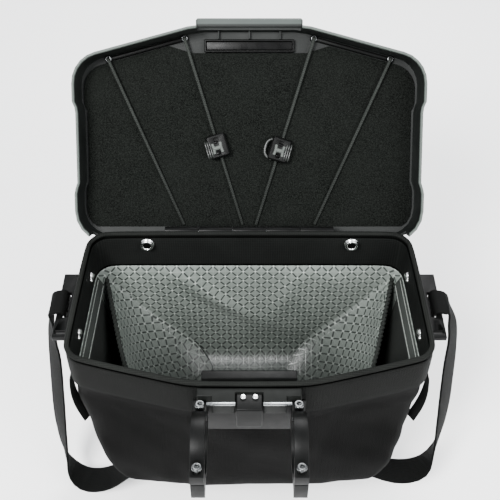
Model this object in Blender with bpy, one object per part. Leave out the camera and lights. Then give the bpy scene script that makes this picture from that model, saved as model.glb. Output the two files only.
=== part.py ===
"""Handlebar bag: a soft box bag with a hinged hard lid, held by two handlebar clamps.

Metres. +X is the rider's right, +Y points forward, +Z up. The origin is the middle of the
handlebar's axis between the two clamps. The lid stands open.
"""

import math

import bmesh
import bpy
from mathutils import Matrix, Vector

MM = 0.001

# Clearances between pieces
SEAT = 0.3 * MM
SLIDE = 0.4 * MM

# Handlebar and bag placed to each other
BAR_RADIUS = 15.9 * MM
BAR_TO_REAR_WALL = 31.5 * MM
BAR_TO_RIM_TOP = 15.0 * MM

# Rim plan: a rear wall that is flat in the middle and angled beside it, straight ends, flat front
RIM_DEPTH = 132.0 * MM
RIM_CHEVRON = 21.2 * MM
RIM_FLAT_HALF = 36.0 * MM
RIM_HALF_REAR = 116.0 * MM
RIM_END_TAPER = 2.5 * MM
RIM_CORNER_RADIUS = 17.0 * MM
RIM_FLAT_RADIUS = 40.0 * MM
RIM_HALF_FRONT = RIM_HALF_REAR - RIM_END_TAPER
REAR_Y = BAR_TO_REAR_WALL
FRONT_Y = REAR_Y + RIM_DEPTH
MIDDLE_Y = REAR_Y + RIM_DEPTH / 2
RIM_Z = BAR_TO_RIM_TOP

# Cloth body
BODY_HEIGHT = 133.0 * MM
BASE_Z = RIM_Z - BODY_HEIGHT
COLLAR_HEIGHT = 32.0 * MM
COLLAR_WALL = 1.2 * MM
SHELL_WALL = 1.0 * MM
FACING_WALL = 1.0 * MM
LINING_WALL = 1.0 * MM
FACING_HEIGHT = 32.0 * MM
BINDING_WIDTH = 3.9 * MM
BINDING_HEIGHT = 3.0 * MM
BINDING_SIDES = 8

# The stiff band ends a little above where the cloth starts to taper
BAND_MARGIN = 1.25 * MM
BAND_DROP = max(COLLAR_HEIGHT, FACING_HEIGHT) + BAND_MARGIN
SOFT_HEIGHT = BODY_HEIGHT - BAND_DROP

# Sections of the body below the band: the drop is a share of SOFT_HEIGHT, the insets are shares of BODY_TAPER
BODY_TAPER = 48.0 * MM
BODY_SECTIONS = (
    # name, drop, side inset, rear inset, front inset, share of the rim's chevron
    ("hem", 0.0, 0.00, 0.00, 0.00, 1.00),
    ("tuck", 0.047, 0.05, 0.05, 0.04, 1.00),
    ("upper", 0.160, 0.07, 0.06, 0.05, 0.95),
    ("belly", 0.320, 0.10, 0.06, 0.05, 0.85),
    ("lower", 0.520, 0.17, 0.06, 0.06, 0.65),
    ("knee", 0.720, 0.26, 0.07, 0.08, 0.45),
    ("turn", 0.867, 0.38, 0.08, 0.13, 0.35),
    ("heel", 0.953, 0.54, 0.10, 0.24, 0.30),
    ("base", 1.000, 0.78, 0.17, 0.45, 0.30),
)

# Dents start at the first share of SOFT_HEIGHT and reach their full depth at the second
DENTS_START = 0.013
DENTS_FULL = 0.360

# Soft dents, in shares of the rim's half width, its depth and SOFT_HEIGHT
DENTS = (
    # name, across, along, drop, reach across, reach along, reach down, depth
    ("left_end", -1.0, 0.55, 0.31, 0.35, 0.28, 0.21, 0.030),
    ("right_end", 1.0, 0.45, 0.36, 0.35, 0.26, 0.24, 0.034),
    ("front_left", -0.45, 1.0, 0.33, 0.30, 0.30, 0.27, 0.024),
    ("front_right", 0.40, 1.0, 0.49, 0.34, 0.30, 0.23, 0.028),
    ("rear_left", -0.62, 0.10, 0.23, 0.20, 0.25, 0.13, 0.022),
    ("rear_right", 0.70, 0.12, 0.33, 0.22, 0.25, 0.16, 0.026),
)

# End pockets
POCKET_WALL = 1.0 * MM
POCKET_REAR_FROM_END = 38.0 * MM
POCKET_FRONT_FROM_END = 15.0 * MM
POCKET_DROP_REAR = 70.0 * MM
POCKET_DROP_FRONT = 40.0 * MM
POCKET_FOOT_FROM_END = 60.0 * MM
POCKET_FOOT_RISE = 0.3 * MM
POCKET_BLEND = 30.0 * MM
POCKET_SPREAD_POWER = 1.6
POCKET_STEPS = 8
POCKET_LEVELS = 5
POCKET_BACK_WALL = 0.7 * MM
POCKET_BACK_DROPS = (0.08, 0.16, 0.32, 0.52, 0.72)
POCKET_BACK_SHARES = (-0.32, -0.16, 0.0, 0.16, 0.32)

# Press studs and rivets, whose profiles are shares of their radius and of how proud they stand
SNAP_SPREAD = 72.0 * MM
SNAP_DROP = 9.0 * MM
SNAP_RADIUS = 4.2 * MM
SNAP_PROUD = 2.2 * MM
SNAP_SIDES = 14
SNAP_PROFILE = ((1.0, 0.0), (1.0, 0.5), (0.8, 1.0), (0.55, 1.0), (0.5, 0.4))
RIVET_RADIUS = 2.6 * MM
RIVET_PROUD = 1.6 * MM
RIVET_SIDES = 10
RIVET_PROFILE = ((1.0, 0.0), (0.8, 0.6), (0.35, 1.0))

# Strap anchors on the end walls, their middle at a share of the rim's depth
ANCHOR_MIDDLE_SHARE = 0.5833
ANCHOR_LENGTH = 56.0 * MM
ANCHOR_REACH = 12.6 * MM
ANCHOR_THICKNESS = 3.5 * MM
ANCHOR_FLANGE = 2.0 * MM
ANCHOR_FLANGE_DROP = 10.0 * MM
ANCHOR_TOP_Z = -1.5 * MM
ANCHOR_SLOT_FROM_WALL = 5.0 * MM
ANCHOR_SLOT_WIDTH = 3.6 * MM
ANCHOR_END_BAR = 3.0 * MM
ANCHOR_END_SLOT = 2.4 * MM

# Webbing
STRAP_WIDTH = 20.0 * MM
STRAP_THICKNESS = 1.5 * MM
STRAP_REACH = 27.0 * MM
STRAP_UNDER_Y = 64.0 * MM
STRAP_LOOP_DROP = 38.0 * MM
STRAP_UNDER_SHARES = (-0.75, -0.35, 0.0, 0.35, 0.75)
STRAP_UNDER_SAG = 3.0 * MM
STRAP_STEPS = 4
TAPE_WIDTH = 7.0 * MM
TAPE_THICKNESS = 1.0 * MM
TAPE_LENGTH = 48.0 * MM
TAPE_FROM_REAR = 30.5 * MM
TAPE_BOW = 1.5 * MM
TAPE_LEAN = 4.8 * MM
TAPE_SHARES = (0.0, 0.25, 0.5, 0.75, 1.0)
TAPE_STEPS = 2
TAPE_TURN = math.radians(40.0)

# Catch plate inside the rider-side rim, its profile in shares of its depth and height from the top
CATCH_HALF = 28.5 * MM
CATCH_DEPTH = 6.4 * MM
CATCH_HEIGHT = 9.0 * MM
CATCH_PROUD = 1.0 * MM
CATCH_PROFILE = ((0.0, 1.0), (0.5, 1.0), (1.0, 0.35), (1.0, 0.1), (0.8, 0.0), (0.0, 0.0))

# Bracket and clamps
PLATE_HALF = 34.0 * MM
PLATE_THICKNESS = 2.7 * MM
PLATE_HEIGHT = 30.0 * MM
PLATE_BEVEL = 0.6 * MM
BAR_HALF = 31.0 * MM
BAR_STEP_HALF = 22.0 * MM
BAR_DEPTH = 11.0 * MM
BAR_STEP_DEPTH = 5.4 * MM
BAR_TOP_Z = 12.4 * MM
BAR_HEIGHT = 10.0 * MM
BLOCK_HALF = 8.0 * MM
BLOCK_TOP_Z = 11.4 * MM
BLOCK_HEIGHT = 18.0 * MM
BLOCK_WEB = 2.4 * MM
BLOCK_BEVEL = 0.8 * MM
SCREW_RADIUS = 1.8 * MM
SCREW_HEIGHT = 1.2 * MM
SCREW_SPREAD = 3.6 * MM
SCREW_FROM_FAR = 2.9 * MM
SCREW_SIDES = 12
SCREW_PROFILE = ((1.0, 0.0), (1.0, 0.6), (0.7, 1.0))
CLAMP_X = 29.0 * MM
CLAMP_WIDTH = 8.0 * MM
CLAMP_WALL = 3.2 * MM
CLAMP_SPLIT = 0.8 * MM
EAR_REACH = 25.2 * MM
EAR_TOP_Z = 8.5 * MM
EAR_FOOT_Z = -14.0 * MM
EAR_MEETS_RING = 0.82
BOLT_Y = 20.5 * MM
BOLT_HEAD_RADIUS = 2.9 * MM
BOLT_HEAD_HEIGHT = 3.2 * MM
BOLT_SHANK_RADIUS = 1.5 * MM
BOLT_SOCKET_RADIUS = 1.35 * MM
BOLT_SOCKET_DEPTH = 1.7 * MM
BOLT_CHAMFER = 0.4 * MM
BOLT_END_Z = -11.2 * MM
BOLT_SIDES = 12
ARC_STEPS = 16
CUT_OVER = 4.0 * MM

# Hinge
HINGE_FROM_WALL = 4.2 * MM
HINGE_BELOW_RIM = 5.3 * MM
KNUCKLE_RADIUS = 3.2 * MM
PIN_RADIUS = 1.5 * MM
HINGE_HALF = 60.0 * MM
KNUCKLES = 5
KNUCKLE_GAP = 0.5 * MM
LEAF_THICKNESS = 1.2 * MM
LEAF_HEIGHT = 20.0 * MM
LEAF_BELOW_PIN = 0.6 * MM
PIN_SIDES = 12
LID_LEAF_DEPTH = 5.4 * MM
LID_OPEN_ANGLE = math.radians(127.0)

# Lid, in the lid's own closed position, measured from the hinge axis
LID_OVERHANG = 5.5 * MM
LID_BACK = 7.0 * MM
LID_CORNER_RADIUS = 22.0 * MM
LID_WALL = 2.0 * MM
LID_PANEL = 2.2 * MM
LID_FILLET = 0.8 * MM
LID_CHAMFER = 0.5 * MM
LID_CHAMFER_HEIGHT = 0.8 * MM
LID_DRAFT = 0.2 * MM
LID_SHOULDER = 3.0 * MM
LID_SHOULDER_INSET = 1.0 * MM
LID_EDGE_INSET = 3.4 * MM
LID_EDGE_RECESS = 0.6
LID_CROWN = 3.0 * MM
LID_CROWN_REACH = 44.0 * MM
LID_CROWN_ROWS = ((0.205, 0.35), (0.545, 0.75), (1.0, 1.0))
LID_RISE = 6.0 * MM
LID_LIP_DROP = 10.0 * MM
FELT_THICKNESS = 1.2 * MM
FELT_MARGIN = 2.6 * MM
FELT_BACK_MARGIN = 9.0 * MM
OUTLINE_STEP = 0.4 * MM
RECESS_DEPTH = 2.2 * MM
RECESS_RAMP = 3.0 * MM
TAB_HALF = 37.0 * MM
TAB_REACH = 5.8 * MM
TAB_ROOT = 6.0 * MM
TAB_DEPTH = 9.0 * MM
TAB_BEVEL = 1.2 * MM
LID_RIB_SPREAD = 21.5 * MM
LID_RIB_WIDTH = 1.0 * MM
LID_RIB_DEPTH = 3.6 * MM
BACK_CUT_FROM_END = 4.0 * MM
BACK_CUT_Z = 4.0 * MM
LATCH_HALF = 31.5 * MM
LATCH_FROM_TIP = 8.0 * MM
LATCH_LENGTH = 8.9 * MM
LATCH_HEIGHT = 4.0 * MM
LATCH_WALL = 1.2 * MM
LATCH_BEVEL = 0.5 * MM
LATCH_BAR_SUNK = 0.6 * MM
LATCH_ROOM = 12.0 * MM

# Bungee cords, eyelets and locks
CORD_RADIUS = 1.1 * MM
EYELET_RADIUS = 2.4 * MM
EYELET_BORE = 1.4 * MM
EYELET_THICKNESS = 0.7 * MM
EYELET_SIDES = 12
EYELET_FROM_END = 17.2 * MM
EYELET_FROM_LATCH = 13.7 * MM
CORD_BEND = 2.4 * MM
CORD_FOOT_FROM_HINGE = 3.6 * MM
CORD_OUTER_FOOT_X = 47.0 * MM
CORD_INNER_FOOT_X = 4.9 * MM
RIDGE_WIDTH = 3.6 * MM
RIDGE_HEIGHT = 2.5 * MM
RIDGE_STEPS = 6
RIDGE_POWER = 0.6
LOCK_SHARE_LEFT = 0.43
LOCK_SHARE_RIGHT = 0.41
LOCK_WIDTH = 14.0 * MM
LOCK_LENGTH = 17.0 * MM
LOCK_THICKNESS = 6.4 * MM
LOCK_HOLE_RADIUS = 1.9 * MM
LOCK_HOLE_SPREAD = 4.4 * MM
LOCK_HOLE_DEPTH = 1.2 * MM
LOCK_BEVEL = 1.2 * MM
LOCK_BORE_SIDES = 10

# Worked out from the sizes above
CLAMP_BORE = BAR_RADIUS + SEAT
CLAMP_OUTER = CLAMP_BORE + CLAMP_WALL
HINGE_Y = FRONT_Y + HINGE_FROM_WALL
HINGE_Z = RIM_Z - HINGE_BELOW_RIM
HEM_Z = RIM_Z - COLLAR_HEIGHT
COLLAR_INSET = SEAT
SHELL_INSET = COLLAR_INSET + COLLAR_WALL + SEAT
LINER_INSET = SHELL_INSET + SHELL_WALL + SEAT
INNER_FACE_INSET = LINER_INSET + FACING_WALL
UNDER_BINDING_Z = RIM_Z - BINDING_HEIGHT - SEAT
END_SLOPE = (RIM_HALF_REAR - RIM_HALF_FRONT) / (RIM_DEPTH - RIM_CHEVRON)
LID_FELT_Z = RIM_Z + LID_RISE - HINGE_Z
LID_CEILING_Z = LID_FELT_Z + FELT_THICKNESS + SEAT
LID_TIP_Y = REAR_Y - LID_OVERHANG - HINGE_Y
ANCHOR_REAR_Y = REAR_Y + RIM_DEPTH * ANCHOR_MIDDLE_SHARE - ANCHOR_LENGTH / 2
ANCHOR_FRONT_Y = ANCHOR_REAR_Y + ANCHOR_LENGTH
ANCHOR_MIDDLE_Y = ANCHOR_REAR_Y + ANCHOR_LENGTH / 2
ANCHOR_WALL_X = RIM_HALF_FRONT + (FRONT_Y - ANCHOR_REAR_Y) * END_SLOPE - COLLAR_INSET + SEAT
TAPE_Y = REAR_Y + TAPE_FROM_REAR
POCKET_MOUTH_REAR = RIM_HALF_REAR - POCKET_REAR_FROM_END
POCKET_MOUTH_FRONT = RIM_HALF_REAR - POCKET_FRONT_FROM_END
POCKET_FOOT_HALF = RIM_HALF_REAR - POCKET_FOOT_FROM_END
BACK_CUT_HALF = RIM_HALF_REAR - BACK_CUT_FROM_END
EYELET_OUTER_X = RIM_HALF_REAR - EYELET_FROM_END
EYELET_INNER_X = LATCH_HALF + EYELET_FROM_LATCH

MATERIALS = {
    # name: colour, roughness, metallic
    "body_cloth": ((0.030, 0.032, 0.030), 0.85, 0.0),
    "collar_cloth": ((0.036, 0.038, 0.035), 0.80, 0.0),
    "binding_cloth": ((0.055, 0.058, 0.054), 0.80, 0.0),
    "facing_cloth": ((0.020, 0.021, 0.020), 0.85, 0.0),
    "lining_cloth": ((0.200, 0.225, 0.205), 0.55, 0.0),
    "pocket_cloth": ((0.025, 0.026, 0.025), 0.80, 0.0),
    "webbing": ((0.026, 0.028, 0.026), 0.75, 0.0),
    "lid_plastic": ((0.070, 0.078, 0.072), 0.45, 0.0),
    "black_plastic": ((0.018, 0.019, 0.018), 0.40, 0.0),
    "grey_plastic": ((0.160, 0.175, 0.160), 0.50, 0.0),
    "felt": ((0.024, 0.027, 0.024), 0.95, 0.0),
    "elastic_cord": ((0.040, 0.043, 0.040), 0.70, 0.0),
    "bright_metal": ((0.750, 0.760, 0.740), 0.20, 1.0),
    "dark_metal": ((0.180, 0.190, 0.190), 0.35, 1.0),
}


def clear_scene():
    for item in list(bpy.data.objects):
        bpy.data.objects.remove(item, do_unlink=True)


def finish_material(name):
    """The named material, made on first use."""
    if name in bpy.data.materials:
        return bpy.data.materials[name]
    colour, roughness, metallic = MATERIALS[name]
    material = bpy.data.materials.new(name)
    material.use_nodes = True
    shader = material.node_tree.nodes["Principled BSDF"]
    shader.inputs["Base Color"].default_value = (*colour, 1.0)
    shader.inputs["Roughness"].default_value = roughness
    shader.inputs["Metallic"].default_value = metallic
    return material


def place(name, mesh_data, material, parent=None):
    """Link an object with its material, under a parent empty where it moves."""
    item = bpy.data.objects.new(name, mesh_data)
    bpy.context.scene.collection.objects.link(item)
    if material:
        mesh_data.materials.append(finish_material(material))
    if parent:
        item.parent = parent
    return item


def mesh_object(name, shape, material, parent=None, smooth_angle=35.0):
    """Turn a bmesh into an object, with faces outward and round stretches shaded smooth."""
    bmesh.ops.recalc_face_normals(shape, faces=shape.faces)
    data = bpy.data.meshes.new(name)
    shape.to_mesh(data)
    shape.free()
    data.shade_smooth()
    data.set_sharp_from_angle(angle=math.radians(smooth_angle))
    return place(name, data, material, parent)


def cutter(name, shape, parent=None):
    """A guide shape for a Boolean, left out of the model."""
    tool = mesh_object(name, shape, None, parent)
    tool.hide_render = True
    tool.display_type = "WIRE"
    return tool


def boolean(item, tool, operation):
    step = item.modifiers.new(tool.name, "BOOLEAN")
    step.operation = operation
    step.solver = "EXACT"
    step.object = tool


def skin(shape, loops, closed_round=False):
    """Quads between neighbouring loops of vertices."""
    pairs = list(zip(loops, loops[1:]))
    if closed_round:
        pairs.append((loops[-1], loops[0]))
    for first, second in pairs:
        count = len(first)
        for index in range(count):
            after = (index + 1) % count
            shape.faces.new((first[index], first[after], second[after], second[index]))


def loop_vertices(shape, points):
    return [shape.verts.new(point) for point in points]


def ring_solid(point_loops):
    """A closed ring: loops of points joined round, the last one to the first."""
    shape = bmesh.new()
    skin(shape, [loop_vertices(shape, points) for points in point_loops], closed_round=True)
    return shape


def cup_solid(outer_loops, inner_loops):
    """A hollow cup: both walls run from the mouth to a closed floor, and the mouth is bridged."""
    shape = bmesh.new()
    outer = [loop_vertices(shape, points) for points in outer_loops]
    inner = [loop_vertices(shape, points) for points in inner_loops]
    skin(shape, outer)
    skin(shape, inner)
    skin(shape, [outer[0], inner[0]])
    shape.faces.new(outer[-1])
    shape.faces.new(inner[-1])
    return shape


def rod_solid(point_loops):
    """A solid between closed ends: loops of points joined in order."""
    shape = bmesh.new()
    loops = [loop_vertices(shape, points) for points in point_loops]
    skin(shape, loops)
    shape.faces.new(loops[0])
    shape.faces.new(loops[-1])
    return shape


def block(low, high, bevel=0.0):
    """A box between two corners, its edges bevelled."""
    shape = bmesh.new()
    bmesh.ops.create_cube(shape, size=1.0)
    low, high = Vector(low), Vector(high)
    size = high - low
    bmesh.ops.transform(shape, matrix=Matrix.Diagonal((*size, 1.0)), verts=shape.verts)
    bmesh.ops.translate(shape, vec=(low + high) / 2, verts=shape.verts)
    if bevel:
        bmesh.ops.bevel(shape, geom=shape.edges, offset=bevel, segments=1, affect="EDGES")
    return shape


def prism(outline, plane, low, high):
    """An outline in a plane, drawn out along the plane's normal from low to high."""
    lift = {
        "XY": lambda a, b, c: (a, b, c),
        "YZ": lambda a, b, c: (c, a, b),
        "XZ": lambda a, b, c: (a, c, b),
    }[plane]
    return rod_solid([[lift(a, b, level) for a, b in outline] for level in (low, high)])


def turned(profile, centre, axis="Z", steps=12, closed=False, phase=0.5):
    """A profile of radius and height turned about an axis through a centre."""
    frames = {
        "Z": (Vector((1, 0, 0)), Vector((0, 1, 0)), Vector((0, 0, 1))),
        "X": (Vector((0, 1, 0)), Vector((0, 0, 1)), Vector((1, 0, 0))),
        "-Y": (Vector((1, 0, 0)), Vector((0, 0, 1)), Vector((0, -1, 0))),
        "-X": (Vector((0, 1, 0)), Vector((0, 0, 1)), Vector((-1, 0, 0))),
    }
    first, second, along = frames[axis]
    loops = []
    for radius, height in profile:
        loop = []
        for step in range(steps):
            angle = math.tau * (step + phase) / steps
            spoke = first * math.cos(angle) + second * math.sin(angle)
            loop.append(Vector(centre) + spoke * radius + along * height)
        loops.append(loop)
    return ring_solid(loops) if closed else rod_solid(loops)


def cross_point(first, second):
    """Where two plan lines meet, each given by a point and a direction."""
    (point_a, along_a), (point_b, along_b) = first, second
    offset = point_b - point_a
    scale = (offset.x * along_b.y - offset.y * along_b.x) / (along_a.x * along_b.y - along_a.y * along_b.x)
    return point_a + along_a * scale


def moved_in(start, end, inset):
    """A plan edge of a counter-clockwise outline moved to its left, which is inward."""
    along = (end - start).normalized()
    return start + Vector((-along.y, along.x)) * inset, along


def plan_corners(plan, rear, side, front):
    """The six corners of a plan, after each wall has moved inward by its own inset."""
    corners = [Vector(pair) for pair in (
        (-plan["flat"], plan["rear"]), (plan["flat"], plan["rear"]),
        (plan["near"], plan["rear"] + plan["chevron"]), (plan["far"], plan["front"]),
        (-plan["far"], plan["front"]), (-plan["near"], plan["rear"] + plan["chevron"]),
    )]
    insets = (rear, rear, side, front, side, rear)
    edges = []
    for index, inset in enumerate(insets):
        edges.append(moved_in(corners[index], corners[(index + 1) % len(corners)], inset))
    return [cross_point(edges[index - 1], edges[index]) for index in range(len(edges))]


def rounded(corners, radii, arc_steps, edge_steps):
    """A plan outline with each corner as an arc and each edge split evenly."""
    count = len(corners)
    arcs = []
    for index, corner in enumerate(corners):
        back = (corners[index - 1] - corner).normalized()
        ahead = (corners[(index + 1) % count] - corner).normalized()
        half_angle = back.angle(ahead) / 2
        reach = radii[index] / math.tan(half_angle)
        centre = corner + (back + ahead).normalized() * radii[index] / math.sin(half_angle)
        start = corner + back * reach - centre
        sweep = math.pi - 2 * half_angle
        arc = []
        for step in range(arc_steps[index] + 1):
            turn = Matrix.Rotation(sweep * step / arc_steps[index], 2)
            arc.append(centre + turn @ start)
        arcs.append(arc)
    points = []
    for index, arc in enumerate(arcs):
        points.extend(arc)
        following = arcs[(index + 1) % count][0]
        for step in range(1, edge_steps[index]):
            points.append(arc[-1].lerp(following, step / edge_steps[index]))
    return points


RIM_PLAN = {
    "flat": RIM_FLAT_HALF, "near": RIM_HALF_REAR, "far": RIM_HALF_FRONT,
    "rear": REAR_Y, "chevron": RIM_CHEVRON, "front": FRONT_Y,
}
RIM_ARC_STEPS = (1, 1, 4, 4, 4, 4)
RIM_EDGE_STEPS = (3, 4, 6, 10, 6, 4)
SMALLEST_RADIUS = 5.0 * MM


def rim_loop(rear, side, front, chevron=1.0):
    """The rim's plan moved inward, with a share of its chevron."""
    corner = max(RIM_CORNER_RADIUS - min(side, front), SMALLEST_RADIUS)
    plan = {**RIM_PLAN, "chevron": RIM_PLAN["chevron"] * chevron}
    radii = (RIM_FLAT_RADIUS, RIM_FLAT_RADIUS, corner, corner, corner, corner)
    return rounded(plan_corners(plan, rear, side, front), radii, RIM_ARC_STEPS, RIM_EDGE_STEPS)


def at_height(loop, height):
    return [Vector((point.x, point.y, height)) for point in loop]


def band_loops(inset, wall, top, bottom):
    """Four loops round a standing band that follows the rim."""
    outer = rim_loop(inset, inset, inset)
    inner = rim_loop(inset + wall, inset + wall, inset + wall)
    return [at_height(outer, top), at_height(outer, bottom), at_height(inner, bottom), at_height(inner, top)]


def dented(point):
    """Push a point of the soft body inward where it has a dent."""
    across = point.x / RIM_HALF_REAR
    along = (point.y - REAR_Y) / RIM_DEPTH
    drop = (RIM_Z - BAND_DROP - point.z) / SOFT_HEIGHT
    push = 0.0
    for _, mid_across, mid_along, mid_drop, reach_across, reach_along, reach_down, depth in DENTS:
        away = ((across - mid_across) / reach_across) ** 2
        away += ((along - mid_along) / reach_along) ** 2
        away += ((drop - mid_drop) / reach_down) ** 2
        push += depth * RIM_HALF_REAR * math.exp(-away)
    push *= min(max((drop - DENTS_START) / (DENTS_FULL - DENTS_START), 0.0), 1.0)
    inward = Vector((-point.x, MIDDLE_Y - point.y, 0.0)).normalized()
    return point + inward * push


def body_loops(depth):
    """The body's sections, at a depth inside its outer face, from the hem to the base."""
    rows = []
    for _, drop, side, rear, front, chevron in BODY_SECTIONS:
        fall = BAND_DROP + drop * SOFT_HEIGHT
        rows.append((fall, side * BODY_TAPER, rear * BODY_TAPER, front * BODY_TAPER, chevron))
    loops = []
    inward = SHELL_INSET + depth
    for index, (drop, side, rear, front, chevron) in enumerate(rows):
        above = rows[index - 1] if index else rows[0]
        below = rows[min(index + 1, len(rows) - 1)]
        slope = math.atan2(below[1] - above[1], below[0] - above[0]) if index else 0.0
        if index == len(rows) - 1:
            slope = math.pi / 2
        height = RIM_Z - drop + depth * math.sin(slope)
        loop = rim_loop(rear + inward, side + inward, front + inward, chevron)
        loops.append([dented(point) for point in at_height(loop, height)])
    return loops


def rear_wall_y(x, inset=0.0):
    """The rear wall's plan position at a distance from the middle."""
    beside = max(abs(x) - RIM_FLAT_HALF, 0.0)
    slope = RIM_CHEVRON / (RIM_HALF_REAR - RIM_FLAT_HALF)
    return REAR_Y + beside * slope + inset * math.hypot(1.0, slope if beside else 0.0)


def end_wall_x(y):
    """Half the rim's width at a place along its depth."""
    return RIM_HALF_FRONT + (FRONT_Y - y) * END_SLOPE


def make_cloth():
    top = UNDER_BINDING_Z
    mesh_object("collar", ring_solid(band_loops(COLLAR_INSET, COLLAR_WALL, top, HEM_Z)), "collar_cloth")
    facing_foot = RIM_Z - FACING_HEIGHT
    mesh_object("facing", ring_solid(band_loops(LINER_INSET, FACING_WALL, top, facing_foot)), "facing_cloth")
    straight = band_loops(SHELL_INSET, SHELL_WALL, top, HEM_Z)
    outer = [straight[0]] + body_loops(0.0)
    inner = [straight[3]] + body_loops(SHELL_WALL)
    mesh_object("body_shell", cup_solid(outer, inner), "body_cloth")
    lining_outer = body_loops(SHELL_WALL + SEAT)
    lining_inner = body_loops(SHELL_WALL + SEAT + LINING_WALL)
    for point in lining_outer[0] + lining_inner[0]:
        point.z = facing_foot - SEAT
    mesh_object("lining", cup_solid(lining_outer, lining_inner), "lining_cloth")
    roll = []
    for step in range(BINDING_SIDES):
        angle = math.tau * (step + 0.5) / BINDING_SIDES
        inset = BINDING_WIDTH / 2 * (1 - math.cos(angle))
        height = RIM_Z - BINDING_HEIGHT / 2 * (1 - math.sin(angle))
        roll.append(at_height(rim_loop(inset, inset, inset), height))
    mesh_object("rim_binding", ring_solid(roll), "binding_cloth")


def sheet_solid(rows, offset):
    """A thin closed sheet: a grid of points and the same grid moved by an offset."""
    back = [[point + offset for point in row] for row in rows]
    loops = []
    for front_row, back_row in zip(rows, back):
        loops.append(front_row + list(reversed(back_row)))
    return rod_solid(loops)


def wall_crossing(loop, x, front):
    """Where a section's rear or front wall stands at a distance from the middle."""
    half = [point for point in loop if (point.y > MIDDLE_Y) == front]
    half.sort(key=lambda point: point.x)
    below = max((point for point in half if point.x <= x), key=lambda point: point.x)
    above = min((point for point in half if point.x > x), key=lambda point: point.x)
    return below.lerp(above, (x - below.x) / (above.x - below.x))


def section_at(sections, z):
    """The section at a height between two of the body's sections."""
    above = min((loop for loop in sections if loop[0].z >= z), key=lambda loop: loop[0].z)
    below = max((loop for loop in sections if loop[0].z < z), key=lambda loop: loop[0].z)
    share = (z - below[0].z) / (above[0].z - below[0].z)
    return [low.lerp(high, share) for low, high in zip(below, above)]


def make_end_pocket(side_name, side):
    """The pocket panel: it hangs from a slanting mouth, bends into the front wall and stands on the floor."""
    foot_drop = BODY_HEIGHT - SHELL_WALL - SEAT - LINING_WALL - SEAT - POCKET_FOOT_RISE
    mouth_ends = ((POCKET_MOUTH_REAR, POCKET_DROP_REAR), (POCKET_MOUTH_FRONT, POCKET_DROP_FRONT))
    sections = body_loops(SHELL_WALL + SEAT + LINING_WALL + SEAT)
    rows = []
    for level in range(POCKET_LEVELS + 1):
        down = level / POCKET_LEVELS
        blend = side * POCKET_BLEND * math.sin(down * math.pi / 2)
        ends = []
        for mouth_x, mouth_drop in mouth_ends:
            x = side * (mouth_x + (POCKET_FOOT_HALF - mouth_x) * down ** POCKET_SPREAD_POWER)
            ends.append((x, RIM_Z - mouth_drop - (foot_drop - mouth_drop) * down))
        (rear_x, rear_z), (front_x, front_z) = ends
        rear_y = wall_crossing(section_at(sections, rear_z), rear_x + side * POCKET_WALL, False).y
        front_section = section_at(sections, front_z)
        corner_y = wall_crossing(front_section, front_x + side * POCKET_WALL, True).y
        last_y = wall_crossing(front_section, front_x - blend, True).y
        start = Vector((rear_x, rear_y, rear_z))
        bend = Vector((front_x, corner_y, front_z))
        last = Vector((front_x - blend, min(last_y, corner_y), front_z))
        row = []
        for step in range(POCKET_STEPS + 1):
            along = step / POCKET_STEPS
            row.append(start.lerp(bend, along).lerp(bend.lerp(last, along), along))
        rows.append(row)
    shape = sheet_solid(rows, Vector((side * POCKET_WALL, 0.0, 0.0)))
    mesh_object(f"end_pocket_{side_name}", shape, "lining_cloth")


def end_point(loop, side, y):
    """The point of a section on one end of the bag at a place along its depth."""
    walls = [point for point in loop if side * point.x > RIM_HALF_REAR / 3]
    below = max((point for point in walls if point.y <= y), key=lambda point: point.y)
    above = min((point for point in walls if point.y > y), key=lambda point: point.y)
    return below.lerp(above, (y - below.y) / (above.y - below.y))


def make_pocket_back(side_name, side):
    """The dark panel on the end wall behind the pocket's mouth."""
    depth = SHELL_WALL + SEAT + LINING_WALL + 2 * SEAT
    outer_sections, inner_sections = body_loops(depth), body_loops(depth + POCKET_BACK_WALL)
    places = [MIDDLE_Y + share * RIM_DEPTH for share in POCKET_BACK_SHARES]
    rows = []
    for share in POCKET_BACK_DROPS:
        z = RIM_Z - BAND_DROP - share * SOFT_HEIGHT
        row = [end_point(section_at(outer_sections, z), side, y) for y in places]
        rows.append(row + [end_point(section_at(inner_sections, z), side, y) for y in reversed(places)])
    mesh_object(f"pocket_back_{side_name}", rod_solid(rows), "pocket_cloth")


def head_profile(shares, radius, height):
    """A turned head's profile from its shares of a radius and a height."""
    return [(across * radius, up * height) for across, up in shares]


def make_studs():
    """Press studs on the far facing, and rivet heads where the anchors are fixed."""
    face_y = FRONT_Y - INNER_FACE_INSET - SEAT
    stud = head_profile(SNAP_PROFILE, SNAP_RADIUS, SNAP_PROUD)
    head = head_profile(RIVET_PROFILE, RIVET_RADIUS, RIVET_PROUD)
    for side_name, side in (("left", -1), ("right", 1)):
        centre = (side * SNAP_SPREAD, face_y, RIM_Z - SNAP_DROP)
        mesh_object(f"snap_{side_name}", turned(stud, centre, "-Y", SNAP_SIDES), "bright_metal")
        for place_name, y in (("rear", ANCHOR_REAR_Y + 2 * RIVET_RADIUS), ("front", ANCHOR_FRONT_Y)):
            x = side * (end_wall_x(y) - INNER_FACE_INSET - SEAT - RIVET_RADIUS * END_SLOPE)
            centre = (x, y, ANCHOR_TOP_Z - ANCHOR_THICKNESS / 2)
            rivet = turned(head, centre, "-X" if side > 0 else "X", RIVET_SIDES)
            mesh_object(f"end_rivet_{side_name}_{place_name}", rivet, "bright_metal")


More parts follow.
